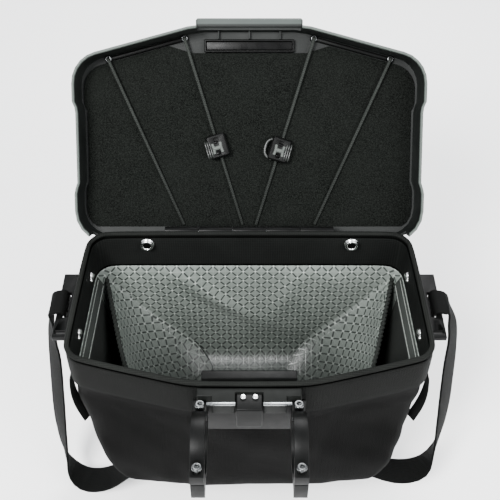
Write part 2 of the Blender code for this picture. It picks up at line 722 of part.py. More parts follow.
def make_anchor(side_name, side):
    """An L-shaped plate riveted to the end wall, with a webbing slot and a small end slot."""
    root = ANCHOR_WALL_X + ANCHOR_FLANGE
    tip = ANCHOR_WALL_X + ANCHOR_REACH
    low = ANCHOR_TOP_Z - ANCHOR_THICKNESS
    foot = ANCHOR_TOP_Z - ANCHOR_FLANGE_DROP
    profile = (
        (ANCHOR_WALL_X, foot), (root, foot), (root, low),
        (tip, low), (tip, ANCHOR_TOP_Z), (ANCHOR_WALL_X, ANCHOR_TOP_Z),
    )
    plate = prism([(side * a, b) for a, b in profile], "XZ", ANCHOR_REAR_Y, ANCHOR_FRONT_Y)
    anchor = mesh_object(f"strap_anchor_{side_name}", plate, "black_plastic")
    slot_x = ANCHOR_WALL_X + ANCHOR_SLOT_FROM_WALL
    half = STRAP_WIDTH / 2 + SLIDE * 2
    below, above = low - CUT_OVER, ANCHOR_TOP_Z + CUT_OVER
    edges = sorted((side * slot_x, side * (slot_x + ANCHOR_SLOT_WIDTH)))
    slot = block((edges[0], ANCHOR_MIDDLE_Y - half, below), (edges[1], ANCHOR_MIDDLE_Y + half, above))
    boolean(anchor, cutter(f"webbing_slot_{side_name}", slot), "DIFFERENCE")
    ends = sorted((side * (root + ANCHOR_END_SLOT), side * (tip - ANCHOR_END_BAR / 2)))
    rear = ANCHOR_REAR_Y + ANCHOR_END_BAR
    notch = block((ends[0], rear, below), (ends[1], rear + ANCHOR_END_SLOT, above))
    boolean(anchor, cutter(f"end_slot_{side_name}", notch), "DIFFERENCE")


def smooth_path(points, steps):
    """Points of a Catmull-Rom curve through the given rows of numbers."""
    path = []
    count = len(points)
    for index in range(count - 1):
        before = points[max(index - 1, 0)]
        first, second = points[index], points[index + 1]
        after = points[min(index + 2, count - 1)]
        for step in range(steps):
            t = step / steps
            row = []
            for a, b, c, d in zip(before, first, second, after):
                bend = 2 * a - 5 * b + 4 * c - d
                twist = -a + 3 * b - 3 * c + d
                row.append(0.5 * (2 * b + (c - a) * t + bend * t * t + twist * t ** 3))
            path.append(row)
    path.append(list(points[-1]))
    return path


def ribbon(rows, width, thickness):
    """A flat strip along a path of x, y, z and the turn of its width about the vertical."""
    loops = []
    for index, (x, y, z, turn) in enumerate(rows):
        here = Vector((x, y, z))
        before = Vector(rows[max(index - 1, 0)][:3])
        after = Vector(rows[min(index + 1, len(rows) - 1)][:3])
        tangent = (after - before).normalized()
        across = Vector((math.sin(turn), math.cos(turn), 0.0))
        across = (across - tangent * across.dot(tangent)).normalized()
        normal = tangent.cross(across)
        half, skin_half = across * width / 2, normal * thickness / 2
        under, over = here - skin_half, here + skin_half
        loops.append([under - half, under + half, over + half, over - half])
    return rod_solid(loops)


# The strap over its anchor: each row starts at the slot's middle or at the anchor's tip, and goes
# out and up by its numbers of strap thicknesses
STRAP_CREST = (
    # start, out, up
    ("slot", 1.0, 1.0),
    ("tip", -1.0, 1.1),
    ("tip", 3.0, -0.6),
)

# The strap's route on one side: reach and turn are shares of STRAP_REACH and a right angle,
# along is the share of the way from the anchor to the run under the bag, drop is a share of the loop
STRAP_ROUTE_LEFT = (
    # reach, along, drop, turn
    (0.64, 0.04, 0.06, -0.10),
    (0.72, 0.12, 0.16, -0.26),
    (0.75, 0.19, 0.27, -0.36),
    (0.82, 0.33, 0.45, -0.38),
    (0.89, 0.46, 0.62, -0.38),
    (0.94, 0.54, 0.77, -0.34),
    (0.84, 0.76, 0.93, -0.20),
    (0.36, 0.95, 1.00, -0.08),
    (-0.40, 1.00, 0.96, 0.00),
    (-1.40, 1.00, 0.86, 0.00),
)
STRAP_ROUTE_RIGHT = (
    (0.72, 0.06, 0.05, 0.10),
    (0.84, 0.16, 0.13, 0.26),
    (0.90, 0.24, 0.27, 0.36),
    (0.94, 0.38, 0.45, 0.38),
    (0.96, 0.52, 0.61, 0.36),
    (0.88, 0.72, 0.78, 0.26),
    (0.50, 0.94, 0.89, 0.10),
    (-0.30, 1.00, 0.90, 0.00),
    (-1.50, 1.00, 0.85, 0.00),
)


def strap_half(side, route):
    """One side of the strap: up through the anchor's slot, over its outer bar and down."""
    slot_x = ANCHOR_WALL_X + ANCHOR_SLOT_FROM_WALL + ANCHOR_SLOT_WIDTH / 2
    loop_z = BASE_Z - STRAP_LOOP_DROP
    crest_z = ANCHOR_TOP_Z + STRAP_THICKNESS / 2 + SLIDE
    tail_z = ANCHOR_TOP_Z - ANCHOR_THICKNESS - ANCHOR_FLANGE_DROP
    starts = {"slot": slot_x, "tip": ANCHOR_WALL_X + ANCHOR_REACH}
    rows = []
    for z in (tail_z, ANCHOR_TOP_Z - ANCHOR_THICKNESS - SLIDE, ANCHOR_TOP_Z - SLIDE):
        rows.append((side * slot_x, ANCHOR_MIDDLE_Y, z, 0.0))
    for start, out, up in STRAP_CREST:
        x = starts[start] + out * STRAP_THICKNESS
        rows.append((side * x, ANCHOR_MIDDLE_Y, crest_z + up * STRAP_THICKNESS, 0.0))
    for reach, along, drop, turn in route:
        x = ANCHOR_WALL_X + reach * STRAP_REACH
        y = ANCHOR_MIDDLE_Y + (STRAP_UNDER_Y - ANCHOR_MIDDLE_Y) * along
        z = crest_z + (loop_z - crest_z) * drop
        rows.append((side * x, y, z, turn * math.pi / 2))
    return rows


def make_strap():
    """One strap: down from the left anchor, under the base and up to the right anchor."""
    left = strap_half(-1, STRAP_ROUTE_LEFT)
    right = strap_half(1, STRAP_ROUTE_RIGHT)
    under_z = BASE_Z - STRAP_THICKNESS / 2 - SLIDE
    under = []
    for share in STRAP_UNDER_SHARES:
        under.append((share * (RIM_HALF_REAR - BODY_TAPER), STRAP_UNDER_Y, under_z, 0.0))
    for half in (left, right):
        half[-1] = (half[-1][0], STRAP_UNDER_Y, under_z - STRAP_UNDER_SAG, 0.0)
    route = smooth_path(left + under + list(reversed(right)), STRAP_STEPS)
    mesh_object("shoulder_strap", ribbon(route, STRAP_WIDTH, STRAP_THICKNESS), "webbing")


def make_side_tape(side_name, side):
    """A narrow tape that hangs from the collar's hem beside the body."""
    x = end_wall_x(TAPE_Y) - COLLAR_INSET - TAPE_THICKNESS / 2
    top = HEM_Z - SEAT
    rows = []
    for share in TAPE_SHARES:
        bow = math.sin(math.pi * share) * TAPE_BOW
        lean = share ** 2 * TAPE_LEAN
        rows.append((side * (x + bow - lean), TAPE_Y, top - TAPE_LENGTH * share, -side * TAPE_TURN * share))
    tape = ribbon(smooth_path(rows, TAPE_STEPS), TAPE_WIDTH, TAPE_THICKNESS)
    mesh_object(f"side_tape_{side_name}", tape, "webbing")


def make_catch_plate():
    rear = REAR_Y + INNER_FACE_INSET + SEAT
    top = RIM_Z + CATCH_PROUD
    profile = [(rear + out * CATCH_DEPTH, top - down * CATCH_HEIGHT) for out, down in CATCH_PROFILE]
    mesh_object("catch_plate", prism(profile, "YZ", -CATCH_HALF, CATCH_HALF), "black_plastic")


def make_bracket():
    """The plate on the rear wall, the stepped bar, the release block and its screws."""
    wall = REAR_Y - SEAT
    plate_top = BAR_TOP_Z - BAR_HEIGHT - SEAT
    plate_low = (-PLATE_HALF, wall - PLATE_THICKNESS, plate_top - PLATE_HEIGHT)
    plate = block(plate_low, (PLATE_HALF, wall, plate_top), PLATE_BEVEL)
    mesh_object("mount_plate", plate, "black_plastic")
    near, step = wall - BAR_DEPTH, wall - BAR_STEP_DEPTH
    gap = BLOCK_HALF + SEAT
    web = wall - BLOCK_WEB
    outline = [
        (-BAR_HALF, step), (-BAR_STEP_HALF, step), (-BAR_STEP_HALF, near), (-gap, near), (-gap, web),
        (gap, web), (gap, near), (BAR_STEP_HALF, near), (BAR_STEP_HALF, step), (BAR_HALF, step),
        (BAR_HALF, wall), (-BAR_HALF, wall),
    ]
    mesh_object("bracket_bar", prism(outline, "XY", BAR_TOP_Z - BAR_HEIGHT, BAR_TOP_Z), "grey_plastic")
    far = wall - max(BLOCK_WEB, PLATE_THICKNESS) - SEAT
    low = (-BLOCK_HALF, CLAMP_BORE + SEAT, BLOCK_TOP_Z - BLOCK_HEIGHT)
    mesh_object("release_block", block(low, (BLOCK_HALF, far, BLOCK_TOP_Z), BLOCK_BEVEL), "black_plastic")
    head = head_profile(SCREW_PROFILE, SCREW_RADIUS, SCREW_HEIGHT)
    for side_name, side in (("left", -1), ("right", 1)):
        centre = (side * SCREW_SPREAD, far - SCREW_FROM_FAR, BLOCK_TOP_Z + SEAT)
        mesh_object(f"block_screw_{side_name}", turned(head, centre, "Z", SCREW_SIDES), "bright_metal")


def half_ring(top):
    """The outline of one clamp half in the Y-Z plane: an arc with an ear on each side."""
    sign = 1 if top else -1
    split = sign * CLAMP_SPLIT / 2
    ear_far = EAR_TOP_Z if top else EAR_FOOT_Z
    start = math.asin(CLAMP_SPLIT / 2 / CLAMP_BORE)
    meet = math.asin(min(abs(ear_far) / CLAMP_OUTER, EAR_MEETS_RING))
    inner, outer = [], []
    for step in range(ARC_STEPS + 1):
        share = step / ARC_STEPS
        angle = start + (math.pi - 2 * start) * share
        inner.append((CLAMP_BORE * math.cos(angle), sign * CLAMP_BORE * math.sin(angle)))
        angle = meet + (math.pi - 2 * meet) * share
        outer.append((CLAMP_OUTER * math.cos(angle), sign * CLAMP_OUTER * math.sin(angle)))
    ears_first = [(EAR_REACH, split), (EAR_REACH, ear_far)]
    ears_last = [(-EAR_REACH, ear_far), (-EAR_REACH, split)]
    if abs(ear_far) > CLAMP_OUTER * EAR_MEETS_RING:
        ears_first.append((BOLT_Y - BOLT_HEAD_RADIUS, ear_far))
        ears_last.insert(0, (BOLT_HEAD_RADIUS - BOLT_Y, ear_far))
    return ears_first + outer + ears_last + list(reversed(inner))


def make_clamp(side_name, side):
    """A two-part ring round the bar with a bolt in front and one behind."""
    low, high = side * CLAMP_X - CLAMP_WIDTH / 2, side * CLAMP_X + CLAMP_WIDTH / 2
    halves = []
    for half_name, top in (("cap", True), ("base", False)):
        shape = prism(half_ring(top), "YZ", low, high)
        halves.append(mesh_object(f"clamp_{half_name}_{side_name}", shape, "black_plastic", smooth_angle=30.0))
    for place_name, y in (("front", BOLT_Y), ("rear", -BOLT_Y)):
        centre = (side * CLAMP_X, y, 0.0)
        bore = BOLT_SHANK_RADIUS + SLIDE
        hole = ((bore, EAR_FOOT_Z - CUT_OVER), (bore, EAR_TOP_Z + CUT_OVER))
        tool = cutter(f"bolt_hole_{side_name}_{place_name}", turned(hole, centre, "Z", BOLT_SIDES))
        for item in halves:
            boolean(item, tool, "DIFFERENCE")
        seat = EAR_TOP_Z + SEAT
        crown = seat + BOLT_HEAD_HEIGHT
        profile = (
            (BOLT_SHANK_RADIUS, BOLT_END_Z), (BOLT_SHANK_RADIUS, seat), (BOLT_HEAD_RADIUS, seat),
            (BOLT_HEAD_RADIUS, crown - BOLT_CHAMFER), (BOLT_HEAD_RADIUS - BOLT_CHAMFER, crown),
            (BOLT_SOCKET_RADIUS, crown), (BOLT_SOCKET_RADIUS, crown - BOLT_SOCKET_DEPTH),
        )
        bolt = turned(profile, centre, "Z", BOLT_SIDES)
        mesh_object(f"clamp_bolt_{side_name}_{place_name}", bolt, "dark_metal")


def make_hinge(pivot):
    """A pin hinge outside the front wall: alternate knuckles on a bag leaf and a lid leaf."""
    span = 2 * HINGE_HALF / KNUCKLES
    bore = PIN_RADIUS + SLIDE
    pin = ((PIN_RADIUS, -HINGE_HALF), (PIN_RADIUS, HINGE_HALF))
    mesh_object("hinge_pin", turned(pin, (0, HINGE_Y, HINGE_Z), "X", PIN_SIDES), "dark_metal")
    wall = FRONT_Y - COLLAR_INSET + SEAT
    leaf_top = (HINGE_HALF, wall + LEAF_THICKNESS, HINGE_Z - LEAF_BELOW_PIN)
    leaf = block((-HINGE_HALF, wall, HINGE_Z - LEAF_HEIGHT), leaf_top)
    bag_leaf = mesh_object("hinge_leaf_bag", leaf, "black_plastic")
    front = LID_BACK - LID_WALL - LID_FILLET - SEAT
    strip = block(
        (-HINGE_HALF, -LID_LEAF_DEPTH + front, LID_CEILING_Z - LEAF_THICKNESS - SEAT),
        (HINGE_HALF, front, LID_CEILING_Z - SEAT))
    lid_leaf = mesh_object("hinge_leaf_lid", strip, "black_plastic", pivot)
    for index in range(KNUCKLES):
        low = -HINGE_HALF + span * index + KNUCKLE_GAP / 2
        high = low + span - KNUCKLE_GAP
        on_bag = index % 2 == 0
        centre = (0, HINGE_Y, HINGE_Z) if on_bag else (0, 0, 0)
        barrel = turned(((KNUCKLE_RADIUS, low), (KNUCKLE_RADIUS, high)), centre, "X", ARC_STEPS)
        owner = bag_leaf if on_bag else lid_leaf
        parent = None if on_bag else pivot
        boolean(owner, cutter(f"knuckle_{index}", barrel, parent), "UNION")
        if not on_bag:
            web_top = LID_CEILING_Z - LEAF_THICKNESS / 2 - SEAT
            web = block((low, front - LEAF_THICKNESS * 2, 0.0), (high, front, web_top))
            boolean(owner, cutter(f"knuckle_web_{index}", web, pivot), "UNION")
        elif index:
            cut = block(
                (low - KNUCKLE_GAP - span, wall - CUT_OVER, HINGE_Z - KNUCKLE_RADIUS - 2 * KNUCKLE_GAP),
                (low - KNUCKLE_GAP / 2, wall + CUT_OVER, HINGE_Z + KNUCKLE_RADIUS))
            boolean(owner, cutter(f"knuckle_room_{index}", cut), "DIFFERENCE")
    reach = HINGE_HALF + span
    for owner, centre, parent in ((bag_leaf, (0, HINGE_Y, HINGE_Z), None), (lid_leaf, (0, 0, 0), pivot)):
        hole = turned(((bore, -reach), (bore, reach)), centre, "X", ARC_STEPS)
        boolean(owner, cutter(f"pin_bore_{owner.name}", hole, parent), "DIFFERENCE")


LID_PLAN = {
    "flat": RIM_FLAT_HALF, "near": RIM_HALF_REAR, "far": RIM_HALF_REAR,
    "rear": REAR_Y - HINGE_Y, "chevron": RIM_CHEVRON, "front": LID_BACK - LID_OVERHANG,
}
LID_ARC_STEPS = (1, 1, 5, 5, 5, 5)
LID_RADII = (RIM_FLAT_RADIUS, RIM_FLAT_RADIUS) + (LID_CORNER_RADIUS,) * 4
LID_EDGE_STEPS = (4, 4, 22, 8, 22, 4)


def lid_loop(inset, height, recess=0.0, tip_room=0.0):
    """The lid's plan at an inset from its outer edge, with the side recesses where they apply."""
    shift = inset - LID_OVERHANG
    radii = [max(radius - inset, SMALLEST_RADIUS) for radius in LID_RADII]
    corners = plan_corners(LID_PLAN, shift + tip_room, shift, shift)
    points = at_height(rounded(corners, radii, LID_ARC_STEPS, LID_EDGE_STEPS), height)
    low, high = ANCHOR_REAR_Y - HINGE_Y, ANCHOR_FRONT_Y - HINGE_Y
    for point in points:
        if abs(point.x) < RIM_HALF_REAR / 2:
            continue
        inside = min(point.y - low, high - point.y) / RECESS_RAMP + 0.5
        point.x -= math.copysign(recess * min(max(inside, 0.0), 1.0), point.x)
    return points


def make_lid_shell(pivot):
    """A moulded tray, mouth down: skirt, crowned top, side recesses, grip tab and ribs."""
    lip, ceiling = -LID_LIP_DROP, LID_CEILING_Z
    top = ceiling + LID_PANEL
    outer = [
        lid_loop(LID_CHAMFER, lip, RECESS_DEPTH),
        lid_loop(0.0, lip + LID_CHAMFER_HEIGHT, RECESS_DEPTH),
        lid_loop(LID_DRAFT, ceiling - LID_SHOULDER, RECESS_DEPTH),
        lid_loop(LID_SHOULDER_INSET, ceiling, RECESS_DEPTH),
        lid_loop(LID_EDGE_INSET, top, RECESS_DEPTH * LID_EDGE_RECESS),
    ]
    for across, up in LID_CROWN_ROWS:
        outer.append(lid_loop(across * LID_CROWN_REACH, top + up * LID_CROWN))
    inner = [
        lid_loop(LID_WALL - LID_CHAMFER, lip, RECESS_DEPTH),
        lid_loop(LID_WALL, lip + LID_CHAMFER_HEIGHT, RECESS_DEPTH),
        lid_loop(LID_WALL + LID_DRAFT, ceiling - LID_PANEL, RECESS_DEPTH),
        lid_loop(LID_WALL + LID_FILLET, ceiling, RECESS_DEPTH),
    ]
    shell = mesh_object("lid_shell", cup_solid(outer, inner), "lid_plastic", pivot)
    tip = LID_TIP_Y
    tab_low = ceiling - TAB_DEPTH
    wall_half = TAB_HALF - TAB_BEVEL
    foot = lip - CUT_OVER
    cut_far = (wall_half, tip + LID_WALL + CUT_OVER, tab_low + TAB_BEVEL)
    front_cut = block((-wall_half, tip - CUT_OVER, foot), cut_far)
    boolean(shell, cutter("skirt_opening_front", front_cut, pivot), "DIFFERENCE")
    tab_far = (TAB_HALF, tip + LID_WALL / 2, top - TAB_BEVEL / 2)
    tab = block((-TAB_HALF, tip - TAB_REACH, tab_low), tab_far, TAB_BEVEL)
    boolean(shell, cutter("grip_tab", tab, pivot), "UNION")
    back_cut = block((-BACK_CUT_HALF, -LID_WALL, foot), (BACK_CUT_HALF, LID_BACK + CUT_OVER, BACK_CUT_Z))
    boolean(shell, cutter("skirt_opening_back", back_cut, pivot), "DIFFERENCE")
    for index in (-1, 0, 1):
        x = index * LID_RIB_SPREAD
        rib = block(
            (x - LID_RIB_WIDTH / 2, tip + LID_WALL / 2, ceiling - LID_RIB_DEPTH),
            (x + LID_RIB_WIDTH / 2, tip + LATCH_FROM_TIP - SEAT, ceiling + LID_PANEL / 2))
        boolean(shell, cutter(f"lid_rib_{index + 1}", rib, pivot), "UNION")


def chevron_y(x, inset):
    """The lid's angled front edge at a distance from the middle, moved inward, in the lid's frame."""
    return rear_wall_y(x, inset - LID_OVERHANG) - HINGE_Y


def make_lid_lining(pivot):
    """The felt pad, shaped like the ceiling, cut back at the latch and at the hinge."""
    past_ridge = LID_FILLET + SEAT + RIDGE_WIDTH + SEAT - FELT_MARGIN
    points = lid_loop(LID_WALL + FELT_MARGIN, 0.0, RECESS_DEPTH, past_ridge)
    back = LID_BACK - FELT_BACK_MARGIN
    latch_y = LID_TIP_Y + LATCH_FROM_TIP + LATCH_LENGTH + SEAT
    outline = []
    for point in points:
        y = min(point.y, back)
        if abs(point.x) < LATCH_HALF + LATCH_ROOM:
            y = max(y, latch_y)
        outline.append((point.x, y))
    kept = []
    for pair in outline:
        if not kept or (Vector(pair) - Vector(kept[-1])).length > OUTLINE_STEP:
            kept.append(pair)
    shape = prism(kept, "XY", LID_FELT_Z, LID_FELT_Z + FELT_THICKNESS)
    mesh_object("lid_felt", shape, "felt", pivot)


def make_latch(pivot):
    """A shallow frame under the lid's ceiling with a bar lying in it."""
    near = LID_TIP_Y + LATCH_FROM_TIP
    far = near + LATCH_LENGTH
    high = LID_CEILING_Z - SEAT
    low = high - LATCH_HEIGHT
    tray = block((-LATCH_HALF, near, low), (LATCH_HALF, far, high), LATCH_BEVEL)
    frame = mesh_object("latch_frame", tray, "black_plastic", pivot)
    inner_half = LATCH_HALF - LATCH_WALL
    well_low = (-inner_half, near + LATCH_WALL, low - CUT_OVER)
    well = block(well_low, (inner_half, far - LATCH_WALL, high - LATCH_WALL))
    boolean(frame, cutter("latch_well", well, pivot), "DIFFERENCE")
    bar = block(
        (-inner_half + SLIDE, near + LATCH_WALL + SLIDE, low + LATCH_BAR_SUNK),
        (inner_half - SLIDE, far - LATCH_WALL - SLIDE, high - LATCH_WALL - SLIDE), LATCH_BAR_SUNK / 2)
    mesh_object("latch_bar", bar, "black_plastic", pivot)


def make_edge_ridge(pivot, side_name, side):
    """A rounded ridge along the angled edge, with an eyelet at each end."""
    ends = []
    for x in (EYELET_INNER_X, EYELET_OUTER_X):
        ends.append(Vector((side * x, chevron_y(x, LID_WALL + LID_FILLET + SEAT + RIDGE_WIDTH / 2), 0.0)))
    along = (ends[1] - ends[0]).normalized()
    across = Vector((-along.y, along.x, 0.0))
    base = LID_CEILING_Z - SEAT
    loops = []
    for end, shift in ((ends[0], -EYELET_RADIUS), (ends[1], EYELET_RADIUS)):
        loop = []
        for step in range(RIDGE_STEPS + 1):
            angle = math.pi * step / RIDGE_STEPS
            offset = across * math.cos(angle) * RIDGE_WIDTH / 2
            drop = math.sin(angle) ** RIDGE_POWER * RIDGE_HEIGHT
            point = end + along * shift + offset
            point.z = base - drop
            loop.append(point)
        loops.append(loop)
    mesh_object(f"edge_ridge_{side_name}", rod_solid(loops), "black_plastic", pivot)
    return ends


def make_eyelet(pivot, name, centre, top):
    profile = (
        (EYELET_BORE, 0.0), (EYELET_RADIUS, 0.0), (EYELET_RADIUS * 0.92, -EYELET_THICKNESS * 0.7),
        (EYELET_RADIUS * 0.75, -EYELET_THICKNESS), (EYELET_BORE, -EYELET_THICKNESS),
    )
    shape = turned(profile, (centre.x, centre.y, top), "Z", EYELET_SIDES, closed=True)
    mesh_object(name, shape, "dark_metal", pivot)


def make_bungee(pivot, name, foot, head):
    """A taut cord from the felt's edge at the hinge to an eyelet, its end turned up into the bore."""
    head_top = LID_CEILING_Z - SEAT - RIDGE_HEIGHT - SEAT
    under = EYELET_THICKNESS + SLIDE + CORD_RADIUS
    low_foot = Vector((foot.x, foot.y, LID_FELT_Z - SEAT - CORD_RADIUS))
    low_head = Vector((head.x, head.y, head_top - under))
    along = (low_head - low_foot).normalized()
    rise = Vector((0.0, 0.0, under - CORD_RADIUS / 2))
    points = [low_foot, low_foot.lerp(low_head, 0.5)]
    points += [low_head - along * CORD_BEND, low_head - along * CORD_BEND / 3]
    points += [low_head + rise / 3, low_head + rise]
    curve = bpy.data.curves.new(name, "CURVE")
    curve.dimensions = "3D"
    curve.bevel_depth = CORD_RADIUS
    curve.bevel_resolution = 2
    curve.use_fill_caps = True
    spline = curve.splines.new("POLY")
    spline.points.add(len(points) - 1)
    for target, point in zip(spline.points, points):
        target.co = (*point, 1.0)
    place(name, curve, "elastic_cord", pivot)
    return low_foot, low_head


def make_cord_lock(pivot, name, foot, head, share):
    """A spring lock on a cord: a block with the cord's bore and two round holes in its face."""
    centre = foot.lerp(head, share)
    along = (head - foot).normalized()
    spin = math.atan2(along.y, along.x) - math.pi / 2
    frame = Matrix.Translation(centre) @ Matrix.Rotation(spin, 4, "Z")
    half_width, half_length = LOCK_WIDTH / 2, LOCK_LENGTH / 2
    high = min(LID_FELT_Z - SLIDE - centre.z, LOCK_THICKNESS / 2)
    low = high - LOCK_THICKNESS
    shape = block((-half_width, -half_length, low), (half_width, half_length, high), LOCK_BEVEL)
    bmesh.ops.transform(shape, matrix=frame, verts=shape.verts)
    lock = mesh_object(name, shape, "black_plastic", pivot)
    tilt = Matrix.Rotation(math.asin(along.z), 4, "X")
    bore_radius = CORD_RADIUS + SLIDE
    bore = turned(((bore_radius, -LOCK_LENGTH), (bore_radius, LOCK_LENGTH)), (0, 0, 0), "-Y", LOCK_BORE_SIDES)
    bmesh.ops.transform(bore, matrix=frame @ tilt, verts=bore.verts)
    boolean(lock, cutter(f"{name}_bore", bore, pivot), "DIFFERENCE")
    for index in (-1, 1):
        well = ((LOCK_HOLE_RADIUS, low - CUT_OVER), (LOCK_HOLE_RADIUS, low + LOCK_HOLE_DEPTH))
        hole = turned(well, (0, index * LOCK_HOLE_SPREAD, 0))
        bmesh.ops.transform(hole, matrix=frame, verts=hole.verts)
        boolean(lock, cutter(f"{name}_hole_{index + 1}", hole, pivot), "DIFFERENCE")


def make_lid_cords(pivot):
    """Ridges, eyelets, cords and locks on the lid's inside."""
    head_top = LID_CEILING_Z - SEAT - RIDGE_HEIGHT - SEAT
    for side_name, side, share in (("left", -1, LOCK_SHARE_LEFT), ("right", 1, LOCK_SHARE_RIGHT)):
        inner_head, outer_head = make_edge_ridge(pivot, side_name, side)
        strands = (("outer", outer_head, CORD_OUTER_FOOT_X), ("inner", inner_head, CORD_INNER_FOOT_X))
        for strand_name, head, foot_x in strands:
            foot = Vector((side * foot_x, -CORD_FOOT_FROM_HINGE, 0.0))
            make_eyelet(pivot, f"eyelet_{strand_name}_{side_name}", head, head_top)
            ends = make_bungee(pivot, f"bungee_{strand_name}_{side_name}", foot, head)
            if strand_name == "inner":
                make_cord_lock(pivot, f"cord_lock_{side_name}", ends[0], ends[1], share)


def make_lid():
    pivot = bpy.data.objects.new("lid_pivot", None)
    bpy.context.scene.collection.objects.link(pivot)
    pivot.location = (0.0, HINGE_Y, HINGE_Z)
    pivot.rotation_euler = (-LID_OPEN_ANGLE, 0.0, 0.0)
    make_lid_shell(pivot)
    make_lid_lining(pivot)
    make_latch(pivot)
    make_lid_cords(pivot)
    make_hinge(pivot)


def main():
    clear_scene()
    make_cloth()
    for side_name, side in (("left", -1), ("right", 1)):
        make_end_pocket(side_name, side)
        make_pocket_back(side_name, side)
        make_anchor(side_name, side)
        make_side_tape(side_name, side)
        make_clamp(side_name, side)
    make_studs()
    make_strap()
    make_catch_plate()
    make_bracket()
    make_lid()
    bpy.context.view_layer.update()


main()
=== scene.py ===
# %% [markdown]
# # A bicycle handlebar bag
# The bag hangs from a bracket with two clamps. It has a soft body, a stiff band round its mouth and a hinged moulded
# lid.
# The measured model gives every piece its place. This lesson dresses it: cloth gets folds and weave, plastic gets
# rounded edges and grain, and small things that the measured model leaves out are added.

# %% Set up
import math
import bpy
from mathutils import Matrix, Vector, noise


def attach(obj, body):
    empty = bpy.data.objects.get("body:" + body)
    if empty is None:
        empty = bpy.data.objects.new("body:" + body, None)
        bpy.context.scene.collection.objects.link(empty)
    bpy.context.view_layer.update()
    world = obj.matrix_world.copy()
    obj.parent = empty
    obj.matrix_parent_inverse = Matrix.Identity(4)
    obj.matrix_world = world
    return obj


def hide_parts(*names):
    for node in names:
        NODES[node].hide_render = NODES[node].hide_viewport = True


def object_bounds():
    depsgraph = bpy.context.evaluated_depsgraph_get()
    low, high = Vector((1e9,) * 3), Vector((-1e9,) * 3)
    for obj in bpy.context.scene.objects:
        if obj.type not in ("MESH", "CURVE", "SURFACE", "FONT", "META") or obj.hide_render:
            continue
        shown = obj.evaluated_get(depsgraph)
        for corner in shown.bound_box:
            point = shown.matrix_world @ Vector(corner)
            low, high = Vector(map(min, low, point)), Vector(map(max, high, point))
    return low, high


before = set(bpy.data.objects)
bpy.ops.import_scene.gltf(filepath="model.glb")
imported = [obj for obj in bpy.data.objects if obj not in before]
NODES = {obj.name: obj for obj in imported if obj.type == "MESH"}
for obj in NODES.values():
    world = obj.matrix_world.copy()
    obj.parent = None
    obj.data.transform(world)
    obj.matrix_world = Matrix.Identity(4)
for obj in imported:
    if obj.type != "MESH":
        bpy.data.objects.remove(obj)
cad_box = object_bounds()
print("nodes", len(NODES))

MM = 0.001

# %% [markdown]
# ## Camera and light
# The view is from behind the bracket, down into the open bag, with one strong light above and two weaker ones. The
# camera's height, tilt and lens were worked out from the straight edges of the rim and the lid.

# %% Camera
CAMERA_PLACE = (0.0, -0.2538, 0.4175)
CAMERA_DOWN = math.radians(45.3)
FOCAL_SHARE = 825.3 / 500.0
SENSOR = 36.0

camera_data = bpy.data.cameras.new("camera")
camera_data.sensor_width = SENSOR
camera_data.lens = FOCAL_SHARE * SENSOR
camera_data.clip_start = 0.01
camera_data.shift_x = 0.0014
camera_data.shift_y = -0.002
camera = bpy.data.objects.new("camera", camera_data)
bpy.context.scene.collection.objects.link(camera)
camera.location = CAMERA_PLACE
camera.rotation_euler = (math.pi / 2 - CAMERA_DOWN, 0.0, 0.0)
bpy.context.scene.camera = camera
print("lens", round(camera_data.lens, 1), "mm")


# %% Lights and floor
FLOOR_Z = cad_box[0][2] - 12 * MM
FLOOR_SIDE = 6.0
STUDIO_COLOUR = (0.93, 0.95, 1.0, 1.0)
STUDIO_STRENGTH = 1.42


def area_light(name, place, aim, size, power):
    data = bpy.data.lights.new(name, "AREA")
    data.shape = "DISK"
    data.size = size
    data.energy = power
    item = bpy.data.objects.new(name, data)
    bpy.context.scene.collection.objects.link(item)
    item.location = place
    item.rotation_euler = (Vector(aim) - Vector(place)).to_track_quat("-Z", "Y").to_euler()
    return item


area_light("key_light", (-0.45, -0.62, 0.95), (0.0, 0.10, -0.02), 0.45, 46.0)
area_light("fill_light", (0.75, -0.55, 0.85), (0.0, 0.08, 0.0), 0.8, 19.0)
area_light("rear_light", (0.1, 1.1, 0.9), (0.0, 0.12, 0.0), 0.8, 27.0)
world = bpy.data.worlds.new("studio")
bpy.context.scene.world = world
world.use_nodes = True
world.node_tree.nodes["Background"].inputs["Color"].default_value = STUDIO_COLOUR
world.node_tree.nodes["Background"].inputs["Strength"].default_value = STUDIO_STRENGTH


def deselect_all():
    bpy.ops.object.select_all(action="DESELECT")


deselect_all()
bpy.ops.mesh.primitive_plane_add(size=FLOOR_SIDE, location=(0.0, 0.0, FLOOR_Z))
floor = bpy.context.object
floor.name = "floor"
print("floor at", round(FLOOR_Z, 4))


# %% [markdown]
# ## A small kit for finishes
# Every finish is made from the same few nodes, so short helpers keep each recipe readable: a pattern, a mix that
# turns it into colours, and a bump that turns it into relief.

